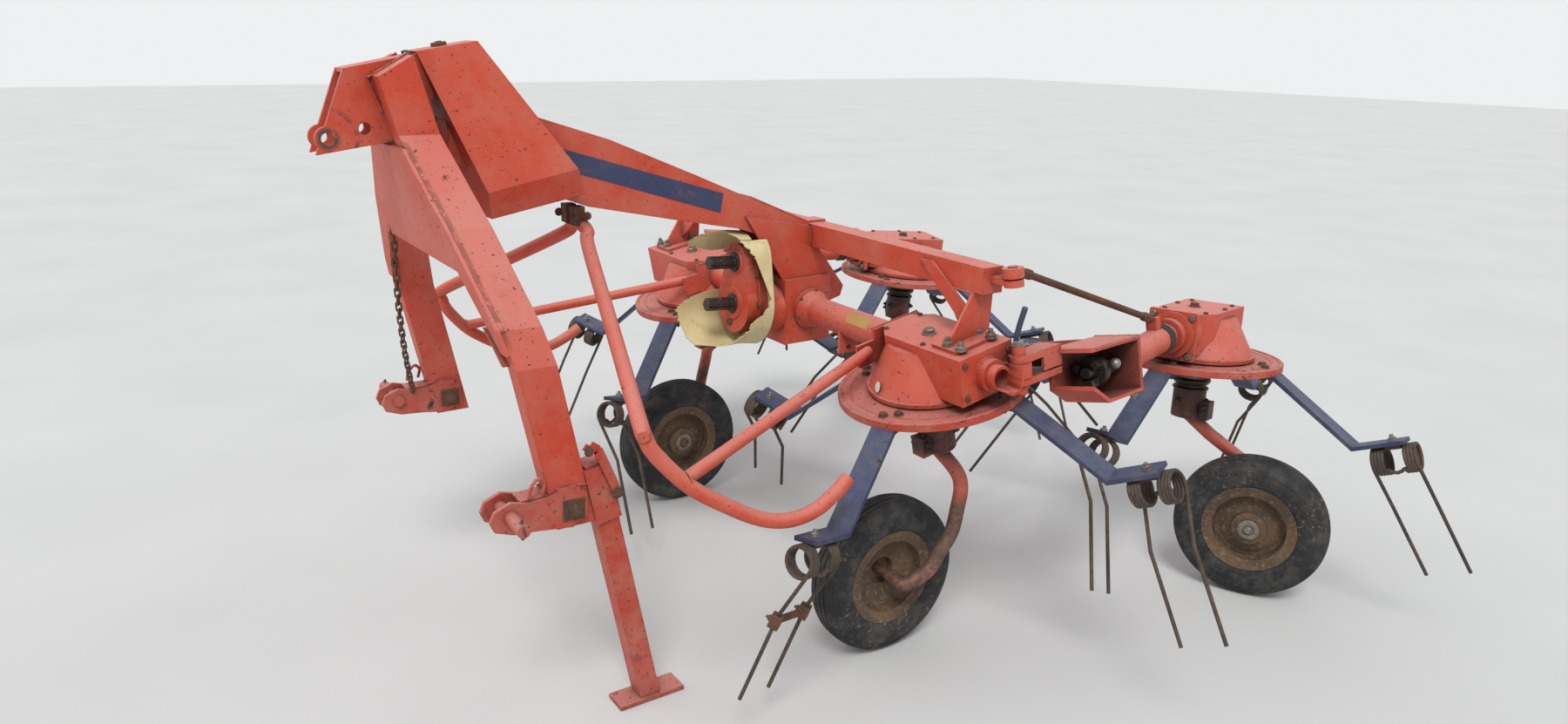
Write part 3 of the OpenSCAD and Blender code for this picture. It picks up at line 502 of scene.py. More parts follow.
def bolt(bm, at, size=10, thread=0, washer=True, turn=0):
    """A hexagon head on a washer, with an optional thread end through it, standing on Z = 0."""
    m = at @ rot((0, 0, 1), turn)
    z = 0
    if washer:
        lathe(
            bm, [(0, 0), (size * 1.25, 0), (size * 1.25, size * 0.16), (0, size * 0.16)], 20, m, closed=False
        )
        z = size * 0.16
    prism(bm, hexagon(size), z, z + size * 0.75, m, chamfer=size * 0.12)
    if thread:
        end = z + size * 0.75 + thread
        lathe(
            bm, [(0, z), (size * 0.52, z), (size * 0.52, end), (size * 0.4, end + 1), (0, end + 1)], 14, m,
            closed=False
        )


def bar(bm, a, b, width, thick, up=(0, 0, 1)):
    """A flat bar from a to b, width across and thick along up."""
    a, b = Vector(a), Vector(b)
    t = (b - a).normalized()
    side = t.cross(Vector(up)).normalized()
    top = side.cross(t)
    rings = []
    for p in (a, b):
        corners = [
            p + side * x * width / 2 + top * y * thick / 2 for x, y in ((-1, -1), (1, -1), (1, 1), (-1, 1))
        ]
        rings.append([bm.verts.new(q) for q in corners])
    for k in range(4):
        bm.faces.new((rings[0][k], rings[0][(k + 1) % 4], rings[1][(k + 1) % 4], rings[1][k]))
    bm.faces.new(rings[0][::-1])
    bm.faces.new(rings[1])


# Camera, light, floor
CAM_AT = Vector((2348.25, -1645.56, 1459.32))
YAW, PITCH_DOWN, ROLL, FOCAL_PX, PHOTO_W = 0.976736, 0.297445, 0.0161, 1218.17, 1800
look = Vector(
    (-math.sin(YAW) * math.cos(PITCH_DOWN), math.cos(YAW) * math.cos(PITCH_DOWN), -math.sin(PITCH_DOWN))
)
right = Vector((math.cos(YAW), math.sin(YAW), 0))
above = right.cross(look)
right, above = (
    math.cos(ROLL) * right + math.sin(ROLL) * above, math.cos(ROLL) * above - math.sin(ROLL) * right
)
cam_data = bpy.data.cameras.new("camera")
cam_data.sensor_width = 36
cam_data.lens = 36 * FOCAL_PX / PHOTO_W
cam_data.clip_start, cam_data.clip_end = 0.05, 100
camera = bpy.data.objects.new("camera", cam_data)
bpy.context.scene.collection.objects.link(camera)
camera.matrix_world = Matrix.Translation(MM @ CAM_AT) @ Matrix((right, above, -look)).transposed().to_4x4()
bpy.context.scene.camera = camera


def sun(name, toward, strength, angle):
    """A distant lamp shining from the side that toward points to, soft by its angle in degrees."""
    data = bpy.data.lights.new(name, "SUN")
    data.energy, data.angle = strength, math.radians(angle)
    obj = bpy.data.objects.new(name, data)
    bpy.context.scene.collection.objects.link(obj)
    obj.rotation_mode = "QUATERNION"
    obj.rotation_quaternion = Vector(toward).to_track_quat("Z", "Y")


sun("key", (0.75, -0.55, 1.25), 1.75, 22)
sun("fill", (-0.8, -0.9, 0.9), 0.45, 60)

world = bpy.data.worlds.new("studio")
bpy.context.scene.world = world
world.use_nodes = True
wt = world.node_tree
wt.nodes.clear()
out = wt.nodes.new("ShaderNodeOutputWorld")
path = wt.nodes.new("ShaderNodeLightPath")
sky, plain = wt.nodes.new("ShaderNodeBackground"), wt.nodes.new("ShaderNodeBackground")
sky.inputs["Color"].default_value = (0.95, 0.97, 1.0, 1)
sky.inputs["Strength"].default_value = 0.62
plain.inputs["Color"].default_value = (0.86, 0.87, 0.88, 1)
plain.inputs["Strength"].default_value = 1.0
seen_or_glossy, shown = wt.nodes.new("ShaderNodeMath"), wt.nodes.new("ShaderNodeMath")
seen_or_glossy.operation = shown.operation = "MAXIMUM"
wt.links.new(path.outputs["Is Camera Ray"], seen_or_glossy.inputs[0])
wt.links.new(path.outputs["Is Glossy Ray"], seen_or_glossy.inputs[1])
wt.links.new(seen_or_glossy.outputs[0], shown.inputs[0])
wt.links.new(path.outputs["Is Transmission Ray"], shown.inputs[1])
mixer = wt.nodes.new("ShaderNodeMixShader")
wt.links.new(shown.outputs[0], mixer.inputs[0])
wt.links.new(sky.outputs[0], mixer.inputs[1])
wt.links.new(plain.outputs[0], mixer.inputs[2])
wt.links.new(mixer.outputs[0], out.inputs["Surface"])
bpy.context.scene.view_settings.view_transform = "Standard"

bpy.ops.mesh.primitive_plane_add(size=60, location=(0, 0, -0.0006))
floor = bpy.context.object
floor.name = "floor"
floor_shader = Shader("floor_pale")
floor_tone = floor_shader.mix(
    floor_shader.ramp(floor_shader.noise(1.2, 2), 0.3, 0.7), (0.62, 0.62, 0.61, 1), (0.66, 0.66, 0.65, 1)
)
floor.data.materials.append(floor_shader.finish(floor_tone, 0.9, soft=0, spec=0.2))


# Tines
def tine_paths(hand):
    """The two wires of one tine, in the rotor's frame, with the arm along +X."""
    rise = math.radians(RISE)
    along = Vector((math.cos(rise), 0, math.sin(rise)))
    under = Vector((math.sin(rise), 0, -math.cos(rise)))
    wire_r = COIL_R - WIRE / 2
    centre = Vector((BEND_R, 0, -DROP)) + COIL_AT * along + (ARM_T + COIL_R + 0.3) * under
    coil_l = TURNS * WIRE * 1.1
    side = Vector((0, 1, 0))
    paths = []
    for end in (1, -1):
        # The coil runs from the middle loop outward, and leaves towards the ground
        pts = []
        steps = 18
        total = TURNS * steps + 4
        # Angle from the top of the coil, turning so that the wire leaves downward and outward
        leave = math.radians(127) if hand > 0 else math.radians(-127)
        for i in range(total + 1):
            f = i / total
            ang = leave - hand * 2 * math.pi * TURNS * (1 - f)
            x = end * (COIL_GAP / 2 + WIRE / 2 + f * (coil_l - WIRE))
            radial = -under * math.cos(ang) + side * -math.sin(ang)
            pts.append(centre + along * x + radial * wire_r)
        x = end * (COIL_GAP / 2 + coil_l - WIRE / 2)
        base = centre + along * x
        knee = base + Vector((0.34 * TIP_REACH, 0.36 * TIP_TRAIL * hand, -0.39 * TIP_DEPTH))
        tip = base + Vector((TIP_REACH, TIP_TRAIL * hand, -TIP_DEPTH))
        last = pts[-1]
        leg = [last + (knee - last) * t for t in (0.18, 0.4, 0.62, 0.82)]
        leg += [
            knee + (knee - last).normalized() * 1.0, knee + (tip - knee) * 0.12, knee + (tip - knee) * 0.5,
            tip - (tip - knee).normalized() * 3
        ]
        paths.append(pts + leg)
    # Middle loop: joins the coils' inner ends over the clamp bolt
    a, b = paths[0][0], paths[1][0]
    return paths, (a, b, centre, along, under, side)


def tine_set(rotor, body, matrix, phase, hand):
    bm, clamps, heads = bmesh.new(), bmesh.new(), bmesh.new()
    paths, (a, b, centre, along, under, side) = tine_paths(hand)
    for k in range(4):
        turn = rot((0, 0, 1), phase + 90 * k)
        for path_points in paths:
            tube(bm, [turn @ p for p in path_points], WIRE / 2, 10)
        loop = [a + (b - a) * t + (-under) * (-9 * math.sin(math.pi * t)) for t in (0, 0.25, 0.5, 0.75, 1)]
        tube(bm, [turn @ p for p in loop], WIRE / 2, 10)
        # Clamp block under the arm's tip and the bolt over it
        seat = centre - under * (COIL_R - WIRE)
        axes = Matrix((along, side, -under)).transposed().to_4x4()
        axes.translation = seat
        prism(clamps, [(-17, -15), (17, -15), (17, 15), (-17, 15)], -2, WIRE, turn @ axes, chamfer=1.5)
        top = axes.copy()
        top.translation = centre - under * (COIL_R + ARM_T + 0.4)
        bolt(heads, turn @ top, 9.5, thread=6)
    piece = make(f"tine_wires_{rotor}", bm, "spring", body, 50, matrix)
    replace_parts(piece, f"tines_{rotor}")
    make(f"tine_clamps_{rotor}", clamps, "rust", body, 30, matrix)
    make(f"tine_bolts_{rotor}", heads, "zinc", body, 30, matrix)


tine_set("inner_left", "inner_rotor_left", INNER, PHASES["inner_left"], -1)
tine_set("inner_right", "inner_rotor_right", MIRROR @ INNER, -PHASES["inner_right"], -1)
tine_set("outer_left", "outer_rotor_left", OUTER, PHASES["outer_left"] - FOLD, 1)
tine_set("outer_right", "outer_rotor_right", MIRROR @ OUTER, -PHASES["outer_right"] - FOLD, 1)

# Shared shapes: YZ lays an outline along the machine's y and z
YZ = Matrix(((0, 0, 1, 0), (1, 0, 0, 0), (0, 1, 0, 0), (0, 0, 0, 1)))
LEG_X, LEG_Y, LEG_BOLT_Z = 416, -872, 521
SPINDLE_DROP = 150


def line(a, b, n):
    a, b = Vector(a), Vector(b)
    return [a + (b - a) * i / (n - 1) for i in range(n)]


def facing(point, direction, roll=0):
    """A placement whose Z looks along direction."""
    q = Vector(direction).to_track_quat("Z", "Y").to_matrix().to_4x4()
    return move(*point) @ q @ rot((0, 0, 1), roll)


def bead(bm, points, radius, seed, at=HERE):
    """A weld bead: a tube whose radius wavers along the path."""
    rnd = random.Random(seed)
    dense = []
    for a, b in zip(points, points[1:]):
        n = max(2, int((Vector(b) - Vector(a)).length / 5))
        dense += [at @ p for p in line(a, b, n)[:-1]]
    dense.append(at @ Vector(points[-1]))
    tube(bm, dense, [radius * rnd.uniform(0.72, 1.2) for _ in dense], 8)


def ring(bm, at, radius, thick, segments=40, sides=8):
    """A torus round the local Z."""
    pts = [at @ Vector((x, y, 0)) for x, y in circle(radius, segments)]
    tube(bm, pts, thick, sides, closed=True)


def hull_outline(r1, r2, gap, n=24):
    """Two circles, the second gap above the first, wrapped by their common tangents."""
    lean_in = math.asin((r1 - r2) / gap)
    pts = []
    for i in range(n + 1):
        a = math.pi - lean_in + (math.pi + 2 * lean_in) * i / n
        pts.append((r1 * math.cos(a), r1 * math.sin(a)))
    for i in range(n // 2 + 1):
        a = lean_in + (math.pi - 2 * lean_in) * i / (n // 2)
        pts.append((r2 * math.cos(a), gap + r2 * math.sin(a)))
    return pts


# Blank panel and sticker
bm = bmesh.new()
for x0, x1 in ((35.1, 36.3), (-36.3, -35.1)):
    prism(bm, [(-722, 1214), (-277, 1079), (-285, 1031), (-718, 1167)], x0, x1, YZ)
make("beam_panels_blank", bm, "panel", "frame", 30)

bm = bmesh.new()
rows = []
for i in range(9):
    a = math.radians(112 + i * 6)
    rows.append(
        [bm.verts.new((x, DRIVE_Y + 38.5 * math.cos(a), DRIVE_Z + 38.5 * math.sin(a))) for x in (262, 350)]
    )
for a, b in zip(rows, rows[1:]):
    bm.faces.new((a[0], a[1], b[1], b[0]))
bmesh.ops.solidify(bm, geom=bm.faces[:], thickness=0.6)
make("tube_sticker_blank", bm, "sticker", "frame", 30)

# Bolts of the frame
zinc, dark = bmesh.new(), bmesh.new()
for s in (1, -1):
    outward = Vector((s, 0, 0))
    side = sided(s)
    for y, z in ((41, 793), (-35, 778)):
        bolt(zinc, facing((s * 43, y, z), outward), 11, thread=5, turn=17)
    for k in range(6):
        a = math.radians(60 * k + 20)
        bolt(
            dark, facing((s * 70, DRIVE_Y + 47 * math.cos(a), DRIVE_Z + 47 * math.sin(a)), outward), 6.5,
            washer=False, turn=9 * k
        )
    for x, y in ((123, 46), (123, -44), (166, 46), (166, -44)):
        bolt(zinc, side @ INNER @ move(x, y, 143), 11.5, thread=9, turn=11 * x)
    for x, y in ((-84, -53), (-84, 53), (60, -64), (60, 64)):
        bolt(dark, side @ INNER @ move(x, y, LID_Z), 6.5, washer=False, turn=x)
    bolt(zinc, side @ INNER @ move(20, -10, LID_Z), 14, turn=5)
    for y, z in ((-64, 40), (64, 40), (-64, 118), (64, 118)):
        bolt(dark, side @ INNER @ move(196, y, z) @ ALONG_X, 7.5, washer=False, turn=y)
    # Bolts through the legs' feet, on square rusty washers
    for d in (1, -1):
        face = facing((s * (LEG_X + d * 37), LEG_Y - 8, LEG_BOLT_Z), (s * d, 0, 0), 12)
        bolt(dark, face, 15, thread=7, turn=20)
    # Hoop clamps under the main beam
    for y in (-684, -650):
        bolt(dark, facing((s * 44, y, 1052), outward), 8, thread=8, turn=y)
    # Nut on the pin of the hinge
    bolt(zinc, side @ move(*HINGE) @ facing((0, 0, 0), HINGE_AXIS) @ move(0, 0, 116), 13, turn=8)
make("frame_bolts", zinc, "zinc", "frame", 30)
make("frame_bolts_rusty", dark, "rust", "frame", 30)

bm = bmesh.new()
for s in (1, -1):
    for d in (1, -1):
        face = facing((s * (LEG_X + d * 35), LEG_Y - 8, LEG_BOLT_Z), (s * d, 0, 0))
        prism(bm, [(-25, -22), (23, -24), (25, 22), (-24, 24)], 0, 2, face)
    prism(
        bm, [(-22, -13), (22, -13), (22, 13), (-22, 13)], 0, 34,
        move(s * 9, -667, 1052) @ facing((0, 0, 0), (s, 0, 0), 90), chamfer=2
    )
make("clamps_and_square_washers", bm, "rust", "frame", 30)

# Nut and wire on top of the mast cover
bm = bmesh.new()
prism(
    bm, [(-12, -12), (12, -12), (12, 12), (-12, 12)], -2, 7,
    move(-3, -951, 1430.5) @ rot((1, 0, 0), 9.6) @ rot((0, 0, 1), 14), chamfer=2
)
lathe(bm, [(0, 0), (7, 0), (7, 9), (0, 9)], 14, move(-3, -951, 1430.5) @ rot((1, 0, 0), 9.6), closed=False)
make("cover_nut", bm, "rust", "frame", 30)
bm = bmesh.new()
tube(
    bm,
    smooth_path(
        [(34, -1019, 1413), (20, -1023, 1417), (2, -1019, 1419), (-18, -1024, 1417), (-30, -1018, 1412)]
    ),
    2.2, 8
)
make("cover_wire", bm, "black", "frame", 40)

# Bent tubes with smooth bends
HOOP = [
    (22, -664, 1038), (46, -652, 1016), (84, -668, 990), (355, -740, 873), (626, -812, 756),
    (640, -808, 728), (650, -792, 692), (672, -732, 622), (690, -660, 570), (706, -589, 530),
    (714, -528, 514), (716, -465, 519), (712, -410, 542), (706, -368, 568),
]
HOOP_R, STRUT_R, AXLE_R, WHEEL_LEG_R = 16, 14, 12.5, 18
STRUT = ((668, -740, 634), (446.9, -118, 744))
LEG_PATH = [
    (545, 30, 500), (602, 40, 462), (622, 44, 424), (627, 32, 366), (628, 16, 308), (627, -18, 266),
    (626, -52, 224), (612, -106, 199), (590, -115, 198), (562, -115, 198)
]
for side_name, s in SIDES:
    bm = bmesh.new()
    tube(bm, smooth_path(HOOP, 6), HOOP_R, 20)
    tube(bm, line(*STRUT, 2), STRUT_R, 16)
    angles = [k * math.pi / 6 for k in range(13)]
    foot = [(668 + 15 * math.cos(a), -735 + 4 * math.cos(a), 634 + 16 * math.sin(a)) for a in angles]
    bead(bm, foot, 2.4, 400)
    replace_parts(make(f"hoop_tube_{side_name}", bm, "orange", "frame", 40, sided(s)), f"hoop_{side_name}")
bm = bmesh.new()
for side_name, s in SIDES:
    side = sided(s)
    tube(bm, [side @ p for p in smooth_path(LEG_PATH, 6)], WHEEL_LEG_R, 18)
    tube(bm, [side @ Vector(p) for p in ((488, -115, 198), (588, -115, 198))], AXLE_R, 16)
    clamp = side @ INNER
    lathe(
        bm, [(30, -150), (30, -92), (41, -92), (44, -95), (44, -173), (41, -176), (0, -176), (0, -150)], 40,
        clamp, closed=False
    )
    prism(bm, [(-20, -64), (20, -64), (20, -30), (-20, -30)], -176, -126, clamp, chamfer=3)
    for z in (-100, -168):
        ring(bm, clamp @ move(0, 0, z), 43.5, 2.2, 40, 6)
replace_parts(make("wheel_leg_tubes", bm, "wheel_leg", "frame", 40), "inner_wheel_legs")

# Welds
bm = bmesh.new()
seed = 1
for s in (1, -1):
    side = sided(s)
    seams = [
        [(39, -1112, 1367), (39, -1031, 1414)],
        [(39, -1113, 1366), (39, -1089, 1300)],
        [(36, -960, 1338), (36, -960, 1235)],
        [(392, -914, 566), (392, -936, 566)],
        [(441, -914, 568), (441, -846, 568)],
        [(36, -208, 1013), (36, -12, 976)],
        [(44, -10, 972), (44, -10, 925)],
        [(608, -8, 919), (674, -8, 919), (674, 48, 919)],
        [(667, -8, 919), (667, 48, 919)],
    ]
    for pts in seams:
        seed += 1
        bead(bm, pts, 2.6, seed, side)
    # Round the coupling neck and the flange plate of the gearbox
    seed += 1
    neck = [(741, DRIVE_Y + y, DRIVE_Z + z) for y, z in circle(38, 24, last=1)]
    bead(bm, neck, 2.4, seed, side)
    flange = [(434, DRIVE_Y + y, DRIVE_Z + z) for y, z in circle(40, 24, last=1)]
    bead(bm, flange, 3.0, seed + 50, side)
    bead(bm, [(-119, -72, 133), (-119, 72, 133)], 2.4, seed + 90, side @ INNER)
make("frame_welds", bm, "orange_worn", "frame", 60)

# Broken cream guard round the input gearbox
GUARD_R, GUARD_TOP_R, CASE_R, CASE_TOP_R, GUARD_REAR, UNDER_BEAM = 110.5, 82.5, 79, 51, 60, 16
# How far each part of the broken wall still reaches, by its direction seen from the tractor.
# More than the rear is gone.
WALL_FRONT = [
    (-180, 99), (-168, 99), (-163, -18), (-155, -72), (-146, -111), (-92, -104), (-80, -60), (-68, -28),
    (-50, -12), (-37, 0), (-25, 30), (-12, 48), (-4, 55), (12, 55), (25, 42), (45, 18), (60, -8), (75, -30),
    (90, -46), (105, -72), (118, -97), (127, -105), (131, -60), (134, -10), (136, 99), (180, 99),
]


def wall_front(phi):
    for (a, u), (b, v) in zip(WALL_FRONT, WALL_FRONT[1:]):
        if a <= phi <= b:
            return u + (v - u) * (phi - a) / (b - a)
    return WALL_FRONT[0][1]


rnd = random.Random(7)
outer = hull_outline(GUARD_R, GUARD_TOP_R, 110, 150)
inner = hull_outline(CASE_R, CASE_TOP_R, 110, 150)
bm = bmesh.new()
columns, jag = [], 0.0
for (bx, bz), (sx, sz) in zip(outer, inner):
    jag = 0.5 * jag + rnd.uniform(-4, 4)
    under_beam = abs(bx) < 49 and bz > 165
    rear = UNDER_BEAM if under_beam else GUARD_REAR
    front = wall_front(math.degrees(math.atan2(bz - 45, bx))) + jag
    if front > rear + 8:
        columns.append(None)
        continue
    front = min(front, rear - 5)
    col = [] if under_beam else [(sx, rear + 2, sz), (0.3 * sx + 0.7 * bx, rear + 2, 0.3 * sz + 0.7 * bz)]
    while len(col) < 12:
        t = (len(col) - (0 if under_beam else 2)) / (11 - (0 if under_beam else 2))
        y = rear + (front - rear) * t
        wave = 1 - 0.012 * math.sin(y / 17 + bx / 30)
        col.append((bx * wave, y, (bz - 45) * wave + 45))
    columns.append([bm.verts.new(p) for p in col])
for i, a in enumerate(columns):
    b = columns[(i + 1) % len(columns)]
    if a is None or b is None or abs(a[0].co.y - b[0].co.y) > 20:
        continue
    for j in range(11):
        bm.faces.new((a[j], b[j], b[j + 1], a[j + 1]))
loose = [v for v in bm.verts if not v.link_faces]
bmesh.ops.delete(bm, geom=loose, context="VERTS")
bmesh.ops.recalc_face_normals(bm, faces=bm.faces)
bmesh.ops.solidify(bm, geom=bm.faces[:], thickness=2.5)
piece = make("guard_broken", bm, "cream", "frame", 40, INPUT)
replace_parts(piece, "shaft_guard")

# Splined input shafts
SPLINE_TEETH = 6


def spline_outline(outer, inner):
    pts = []
    for k in range(SPLINE_TEETH):
        for da, r in ((-0.30, inner), (-0.25, outer), (0.25, outer), (0.30, inner)):
            a = 2 * math.pi * (k + da) / SPLINE_TEETH
            pts.append((r * math.cos(a), r * math.sin(a)))
    return pts


bm = bmesh.new()
for z in (0, 110):
    m = INPUT @ facing((0, 0, z), (0, -1, 0), 9)
    lathe(bm, [(0, 0), (31, 0), (31, 3), (24.5, 4), (24.5, 8), (18, 9), (0, 9)], 40, m, closed=False)
    prism(bm, spline_outline(17.4, 14.3), 8, 44, m, chamfer=1.5)
    lathe(bm, [(0, 43), (14.4, 43), (14.4, 51), (0, 51)], 28, m, closed=False)
    prism(bm, spline_outline(17.4, 14.3), 50, 83.8, m, chamfer=3)
piece = make("shafts_splined", bm, "grease", "frame", 25)
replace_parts(piece, "input_shafts")

# Parting flange, seal rings and plugs of the input gearbox
bm = bmesh.new()
depth = INPUT @ rot((1, 0, 0), -90)
prism(bm, [(x, -z) for x, z in hull_outline(83, 55, 110, 40)][::-1], 30, 38, depth, chamfer=1.5)
for z, r in ((0, 44), (110, 34)):
    m = INPUT @ facing((0, 0, z), (0, -1, 0))
    lathe(bm, [(r - 16, -2), (r, -2), (r - 2, 3.5), (r - 16, 3.5)], 40, m)
make("gearbox_flange_and_seals", bm, "orange", "frame", 30)
bm = bmesh.new()
for x, z in ((66, -58), (-66, -58), (84, 12), (-84, 12), (66, 88), (-66, 88), (0, 168), (0, -84)):
    at = INPUT @ facing((x * 0.97, 30, z * 0.97 if z != 168 else 160), (0, -1, 0))
    bolt(bm, at, 6.5, washer=False, turn=x)
bolt(bm, INPUT @ facing((-8, 0, -52), (0, -1, 0)), 9, turn=14)
make("gearbox_bolts", bm, "rust", "frame", 30)

# Rotors: disc bolts, rims, hub bolts, spindle collars
def rotor_details(rotor, body, matrix, phase, hub_body, spindle_body):
    rusty_bm, rim_bm, hub = bmesh.new(), bmesh.new(), bmesh.new()
    for k in range(4):
        turn = matrix @ rot((0, 0, 1), phase + 90 * k)
        for x, y in ((196, -15), (178, 15)):
            bolt(rusty_bm, turn @ move(x, y, 0), 9.5, turn=31 * k + y)
        for x, y in ((122, 0), (178, 15), (196, -15)):
            bolt(rusty_bm, turn @ move(x, y, -LIP - ARM_T) @ FLIP, 8.5, thread=6, turn=17 * k)
    lathe(
        rim_bm,
        [
            (DISC_R - 12, -5), (DISC_R - 11, 1.2), (DISC_R - 6, 3.2), (DISC_R - 1.5, 1.4),
            (DISC_R - 0.1, -3), (DISC_R - 4, -7)
        ],
        96, matrix
    )
    lathe(
        rim_bm, [(DISC_R - 34, -0.5), (DISC_R - 33, 1.0), (DISC_R - 30, 1.0), (DISC_R - 29, -0.5)], 96,
        matrix
    )
    for k in range(8):
        bolt(
            hub, matrix @ rot((0, 0, 1), 45 * k + 20) @ move(64, 0, -DISC_T - 10) @ FLIP, 7, washer=False,
            turn=k * 13
        )
    make(f"disc_bolts_{rotor}", rusty_bm, "rust", body, 30)
    make(f"disc_edge_{rotor}", rim_bm, "orange_worn", body, 40)
    make(f"hub_bolts_{rotor}", hub, "rust", hub_body, 30)
    # Fixed parts under the disc: grease collar on the spindle and the clamp's bolts
    low = bmesh.new()
    lathe(low, [(31, -66), (50, -66), (52, -72), (46, -80), (36, -84), (36, -90), (31, -90)], 40, matrix)
    for s, z in ((1, -140), (1, -154), (-1, -140), (-1, -154)):
        bolt(low, matrix @ facing((s * 20.8, -50, z), (s, 0, 0)), 9, thread=6, turn=z - 10)
    for k in range(3):
        bolt(low, matrix @ rot((0, 0, 1), 120 * k + 40) @ move(44, 0, -128) @ ALONG_X, 8, thread=4)
    ring(low, matrix @ move(0, 0, -SPINDLE_DROP + 56), 45, 3.4)
    make(f"spindle_collar_{rotor}", low, "grease", spindle_body, 35)


# Booms: coupling, bolts, straps, welds and the lip of the open box
def boom_details(side_name, s):
    unit, rotor = sided(s) @ UNIT, sided(s) @ OUTER
    body = f"outer_unit_{side_name}"
    y0, z0 = -69.9, 52.6
    bm = bmesh.new()
    along = unit @ facing((0, y0, 24), (1, 0, 0))
    lathe(
        bm, [(0, 206), (34, 206), (37, 210), (37, 226), (30, 232), (20, 234), (18, 330), (0, 330)], 36,
        along, closed=False
    )
    for k in range(3):
        prism(
            bm, [(20, -9), (35, -8), (35, 8), (20, 9)], 176, 210, along @ rot((0, 0, 1), 120 * k + 20),
            chamfer=3
        )
    lathe(bm, [(0, 170), (12, 170), (14, 176), (14, 204), (0, 206)], 24, along, closed=False)
    make(f"coupling_{side_name}", bm, "grease", body, 35)
    bm = bmesh.new()
    angles = [math.radians(-75 + 15 * k) for k in range(11)]
    cap = [(0, -13)] + [(13 * math.cos(a), 13 * math.sin(a)) for a in angles] + [(0, 13)]
    lathe(bm, cap, 24, unit @ move(236, y0 - 44, 38), closed=False)
    for y, z in ((-52, 52), (52, 52), (-52, -52), (52, -52)):
        bolt(bm, rotor @ move(-188, y, SHAFT_UP + z) @ rot((0, 1, 0), -90), 9, washer=False, turn=y)
    bolt(bm, unit @ move(300, -124, -42) @ FLIP, 9, thread=5)
    bolt(bm, unit @ move(574, -56, 98), 8, thread=5)
    bolt(bm, unit @ facing((346, -48, 70), (1, 0, 0)), 8, thread=3)
    make(f"boom_bolts_{side_name}", bm, "zinc", body, 30)
    bm = bmesh.new()
    prism(
        bm, [(-66, -62), (-62, -66), (62, -66), (66, -62), (66, 62), (62, 66), (-62, 66), (-66, 62)], 0, 12,
        rotor @ move(-176, 0, SHAFT_UP) @ rot((0, 1, 0), -90), chamfer=1.5
    )
    make(f"gearbox_face_{side_name}", bm, "orange", body, 30)
    bm = bmesh.new()
    for x in (586, 602):
        lathe(
            bm, [(35.2, -5), (39, -5), (39.6, 0), (39, 5), (35.2, 5)], 40,
            unit @ facing((x, y0, z0 - (646 - x) * math.tan(math.radians(4))), (1, 0, 0))
        )
    make(f"tube_straps_{side_name}", bm, "black", body, 30)
    bm = bmesh.new()
    seams = [
        [(332, -130, 92), (332, -20, 92)], [(344, -106, 18), (344, -106, 78)],
        [(344, -36, 18), (344, -36, 78)]
    ]
    for i, pts in enumerate(seams):
        bead(bm, pts, 2.4, 300 + i, unit)
    neck = [(345, y0 + y, 32.5 + z) for y, z in circle(36, 20, last=1)]
    bead(bm, neck, 2.6, 320, unit)
    # Turned-out lip round the box's open front
    tube(
        bm,
        [unit @ Vector(p) for p in ((112, -130, 88), (334, -130, 88), (338, -130, 84), (338, -130, -34))],
        2.6, 8
    )
    make(f"boom_welds_{side_name}", bm, "orange_worn", body, 60)
    # Skirt bolts and lid of the outer gearbox
    bm = bmesh.new()
    for x, y in ((-112, -56), (-112, 56), (80, -56), (80, 56), (0, 66), (0, -66)):
        bolt(bm, rotor @ move(x, y, LID_Z), 6.5, washer=False, turn=x)
    bolt(bm, rotor @ move(-20, 10, LID_Z), 13, turn=25)
    make(f"gearbox_lid_bolts_{side_name}", bm, "rust", body, 30)


for side_name, s in SIDES:
    inner, outer = f"inner_{side_name}", f"outer_{side_name}"
    turning = f"inner_rotor_{side_name}"
    rotor_details(inner, turning, sided(s) @ INNER, PHASES[inner] * s, turning, "frame")
    rotor_details(
        outer, f"outer_rotor_{side_name}", sided(s) @ OUTER, PHASES[outer] * s - FOLD,
        f"outer_hub_{side_name}", f"outer_unit_{side_name}"
    )
    boom_details(side_name, s)

# Wheels: the tyre's section is heights above the rim or below the tread, each with its inset
BEAD = ((0, 12.5), (3, 7), (8, 4.6), (10, 3.0), (13, 3.2))
WALL = (
    (0.25, 0.5), (0.38, 0.1), (0.40, 0.0), (0.44, 0.2), (0.60, 1.5), (0.62, 1.0), (0.65, 2.4), (0.78, 6),
    (0.80, 8.2), (0.83, 7.8), (0.90, 13), (0.905, 15.5), (0.93, 16), (0.965, 23), (0.93, 24.5), (0.93, 26.5),
    (0.985, 28),
)
TREAD = ((0.4, 36), (5, 37.5), (5, 40), (0, 41.5))
HUB_Z = 40
HUB_RING = [(15, HUB_Z), (27, HUB_Z), (28, HUB_Z + 3), (24, HUB_Z + 5), (15, HUB_Z + 5)]


def tyre_section():
    half, h = TYRE_W / 2, TYRE_R - RIM_R
    outer_half = [(104.3, half - 18.4)] + [(RIM_R + r, half - z) for r, z in BEAD]
    outer_half += [(RIM_R + part * h, half - z) for part, z in WALL]
    outer_half += [(TYRE_R - r, half - z) for r, z in TREAD]
    return outer_half + [(r, -z) for r, z in reversed(outer_half)]


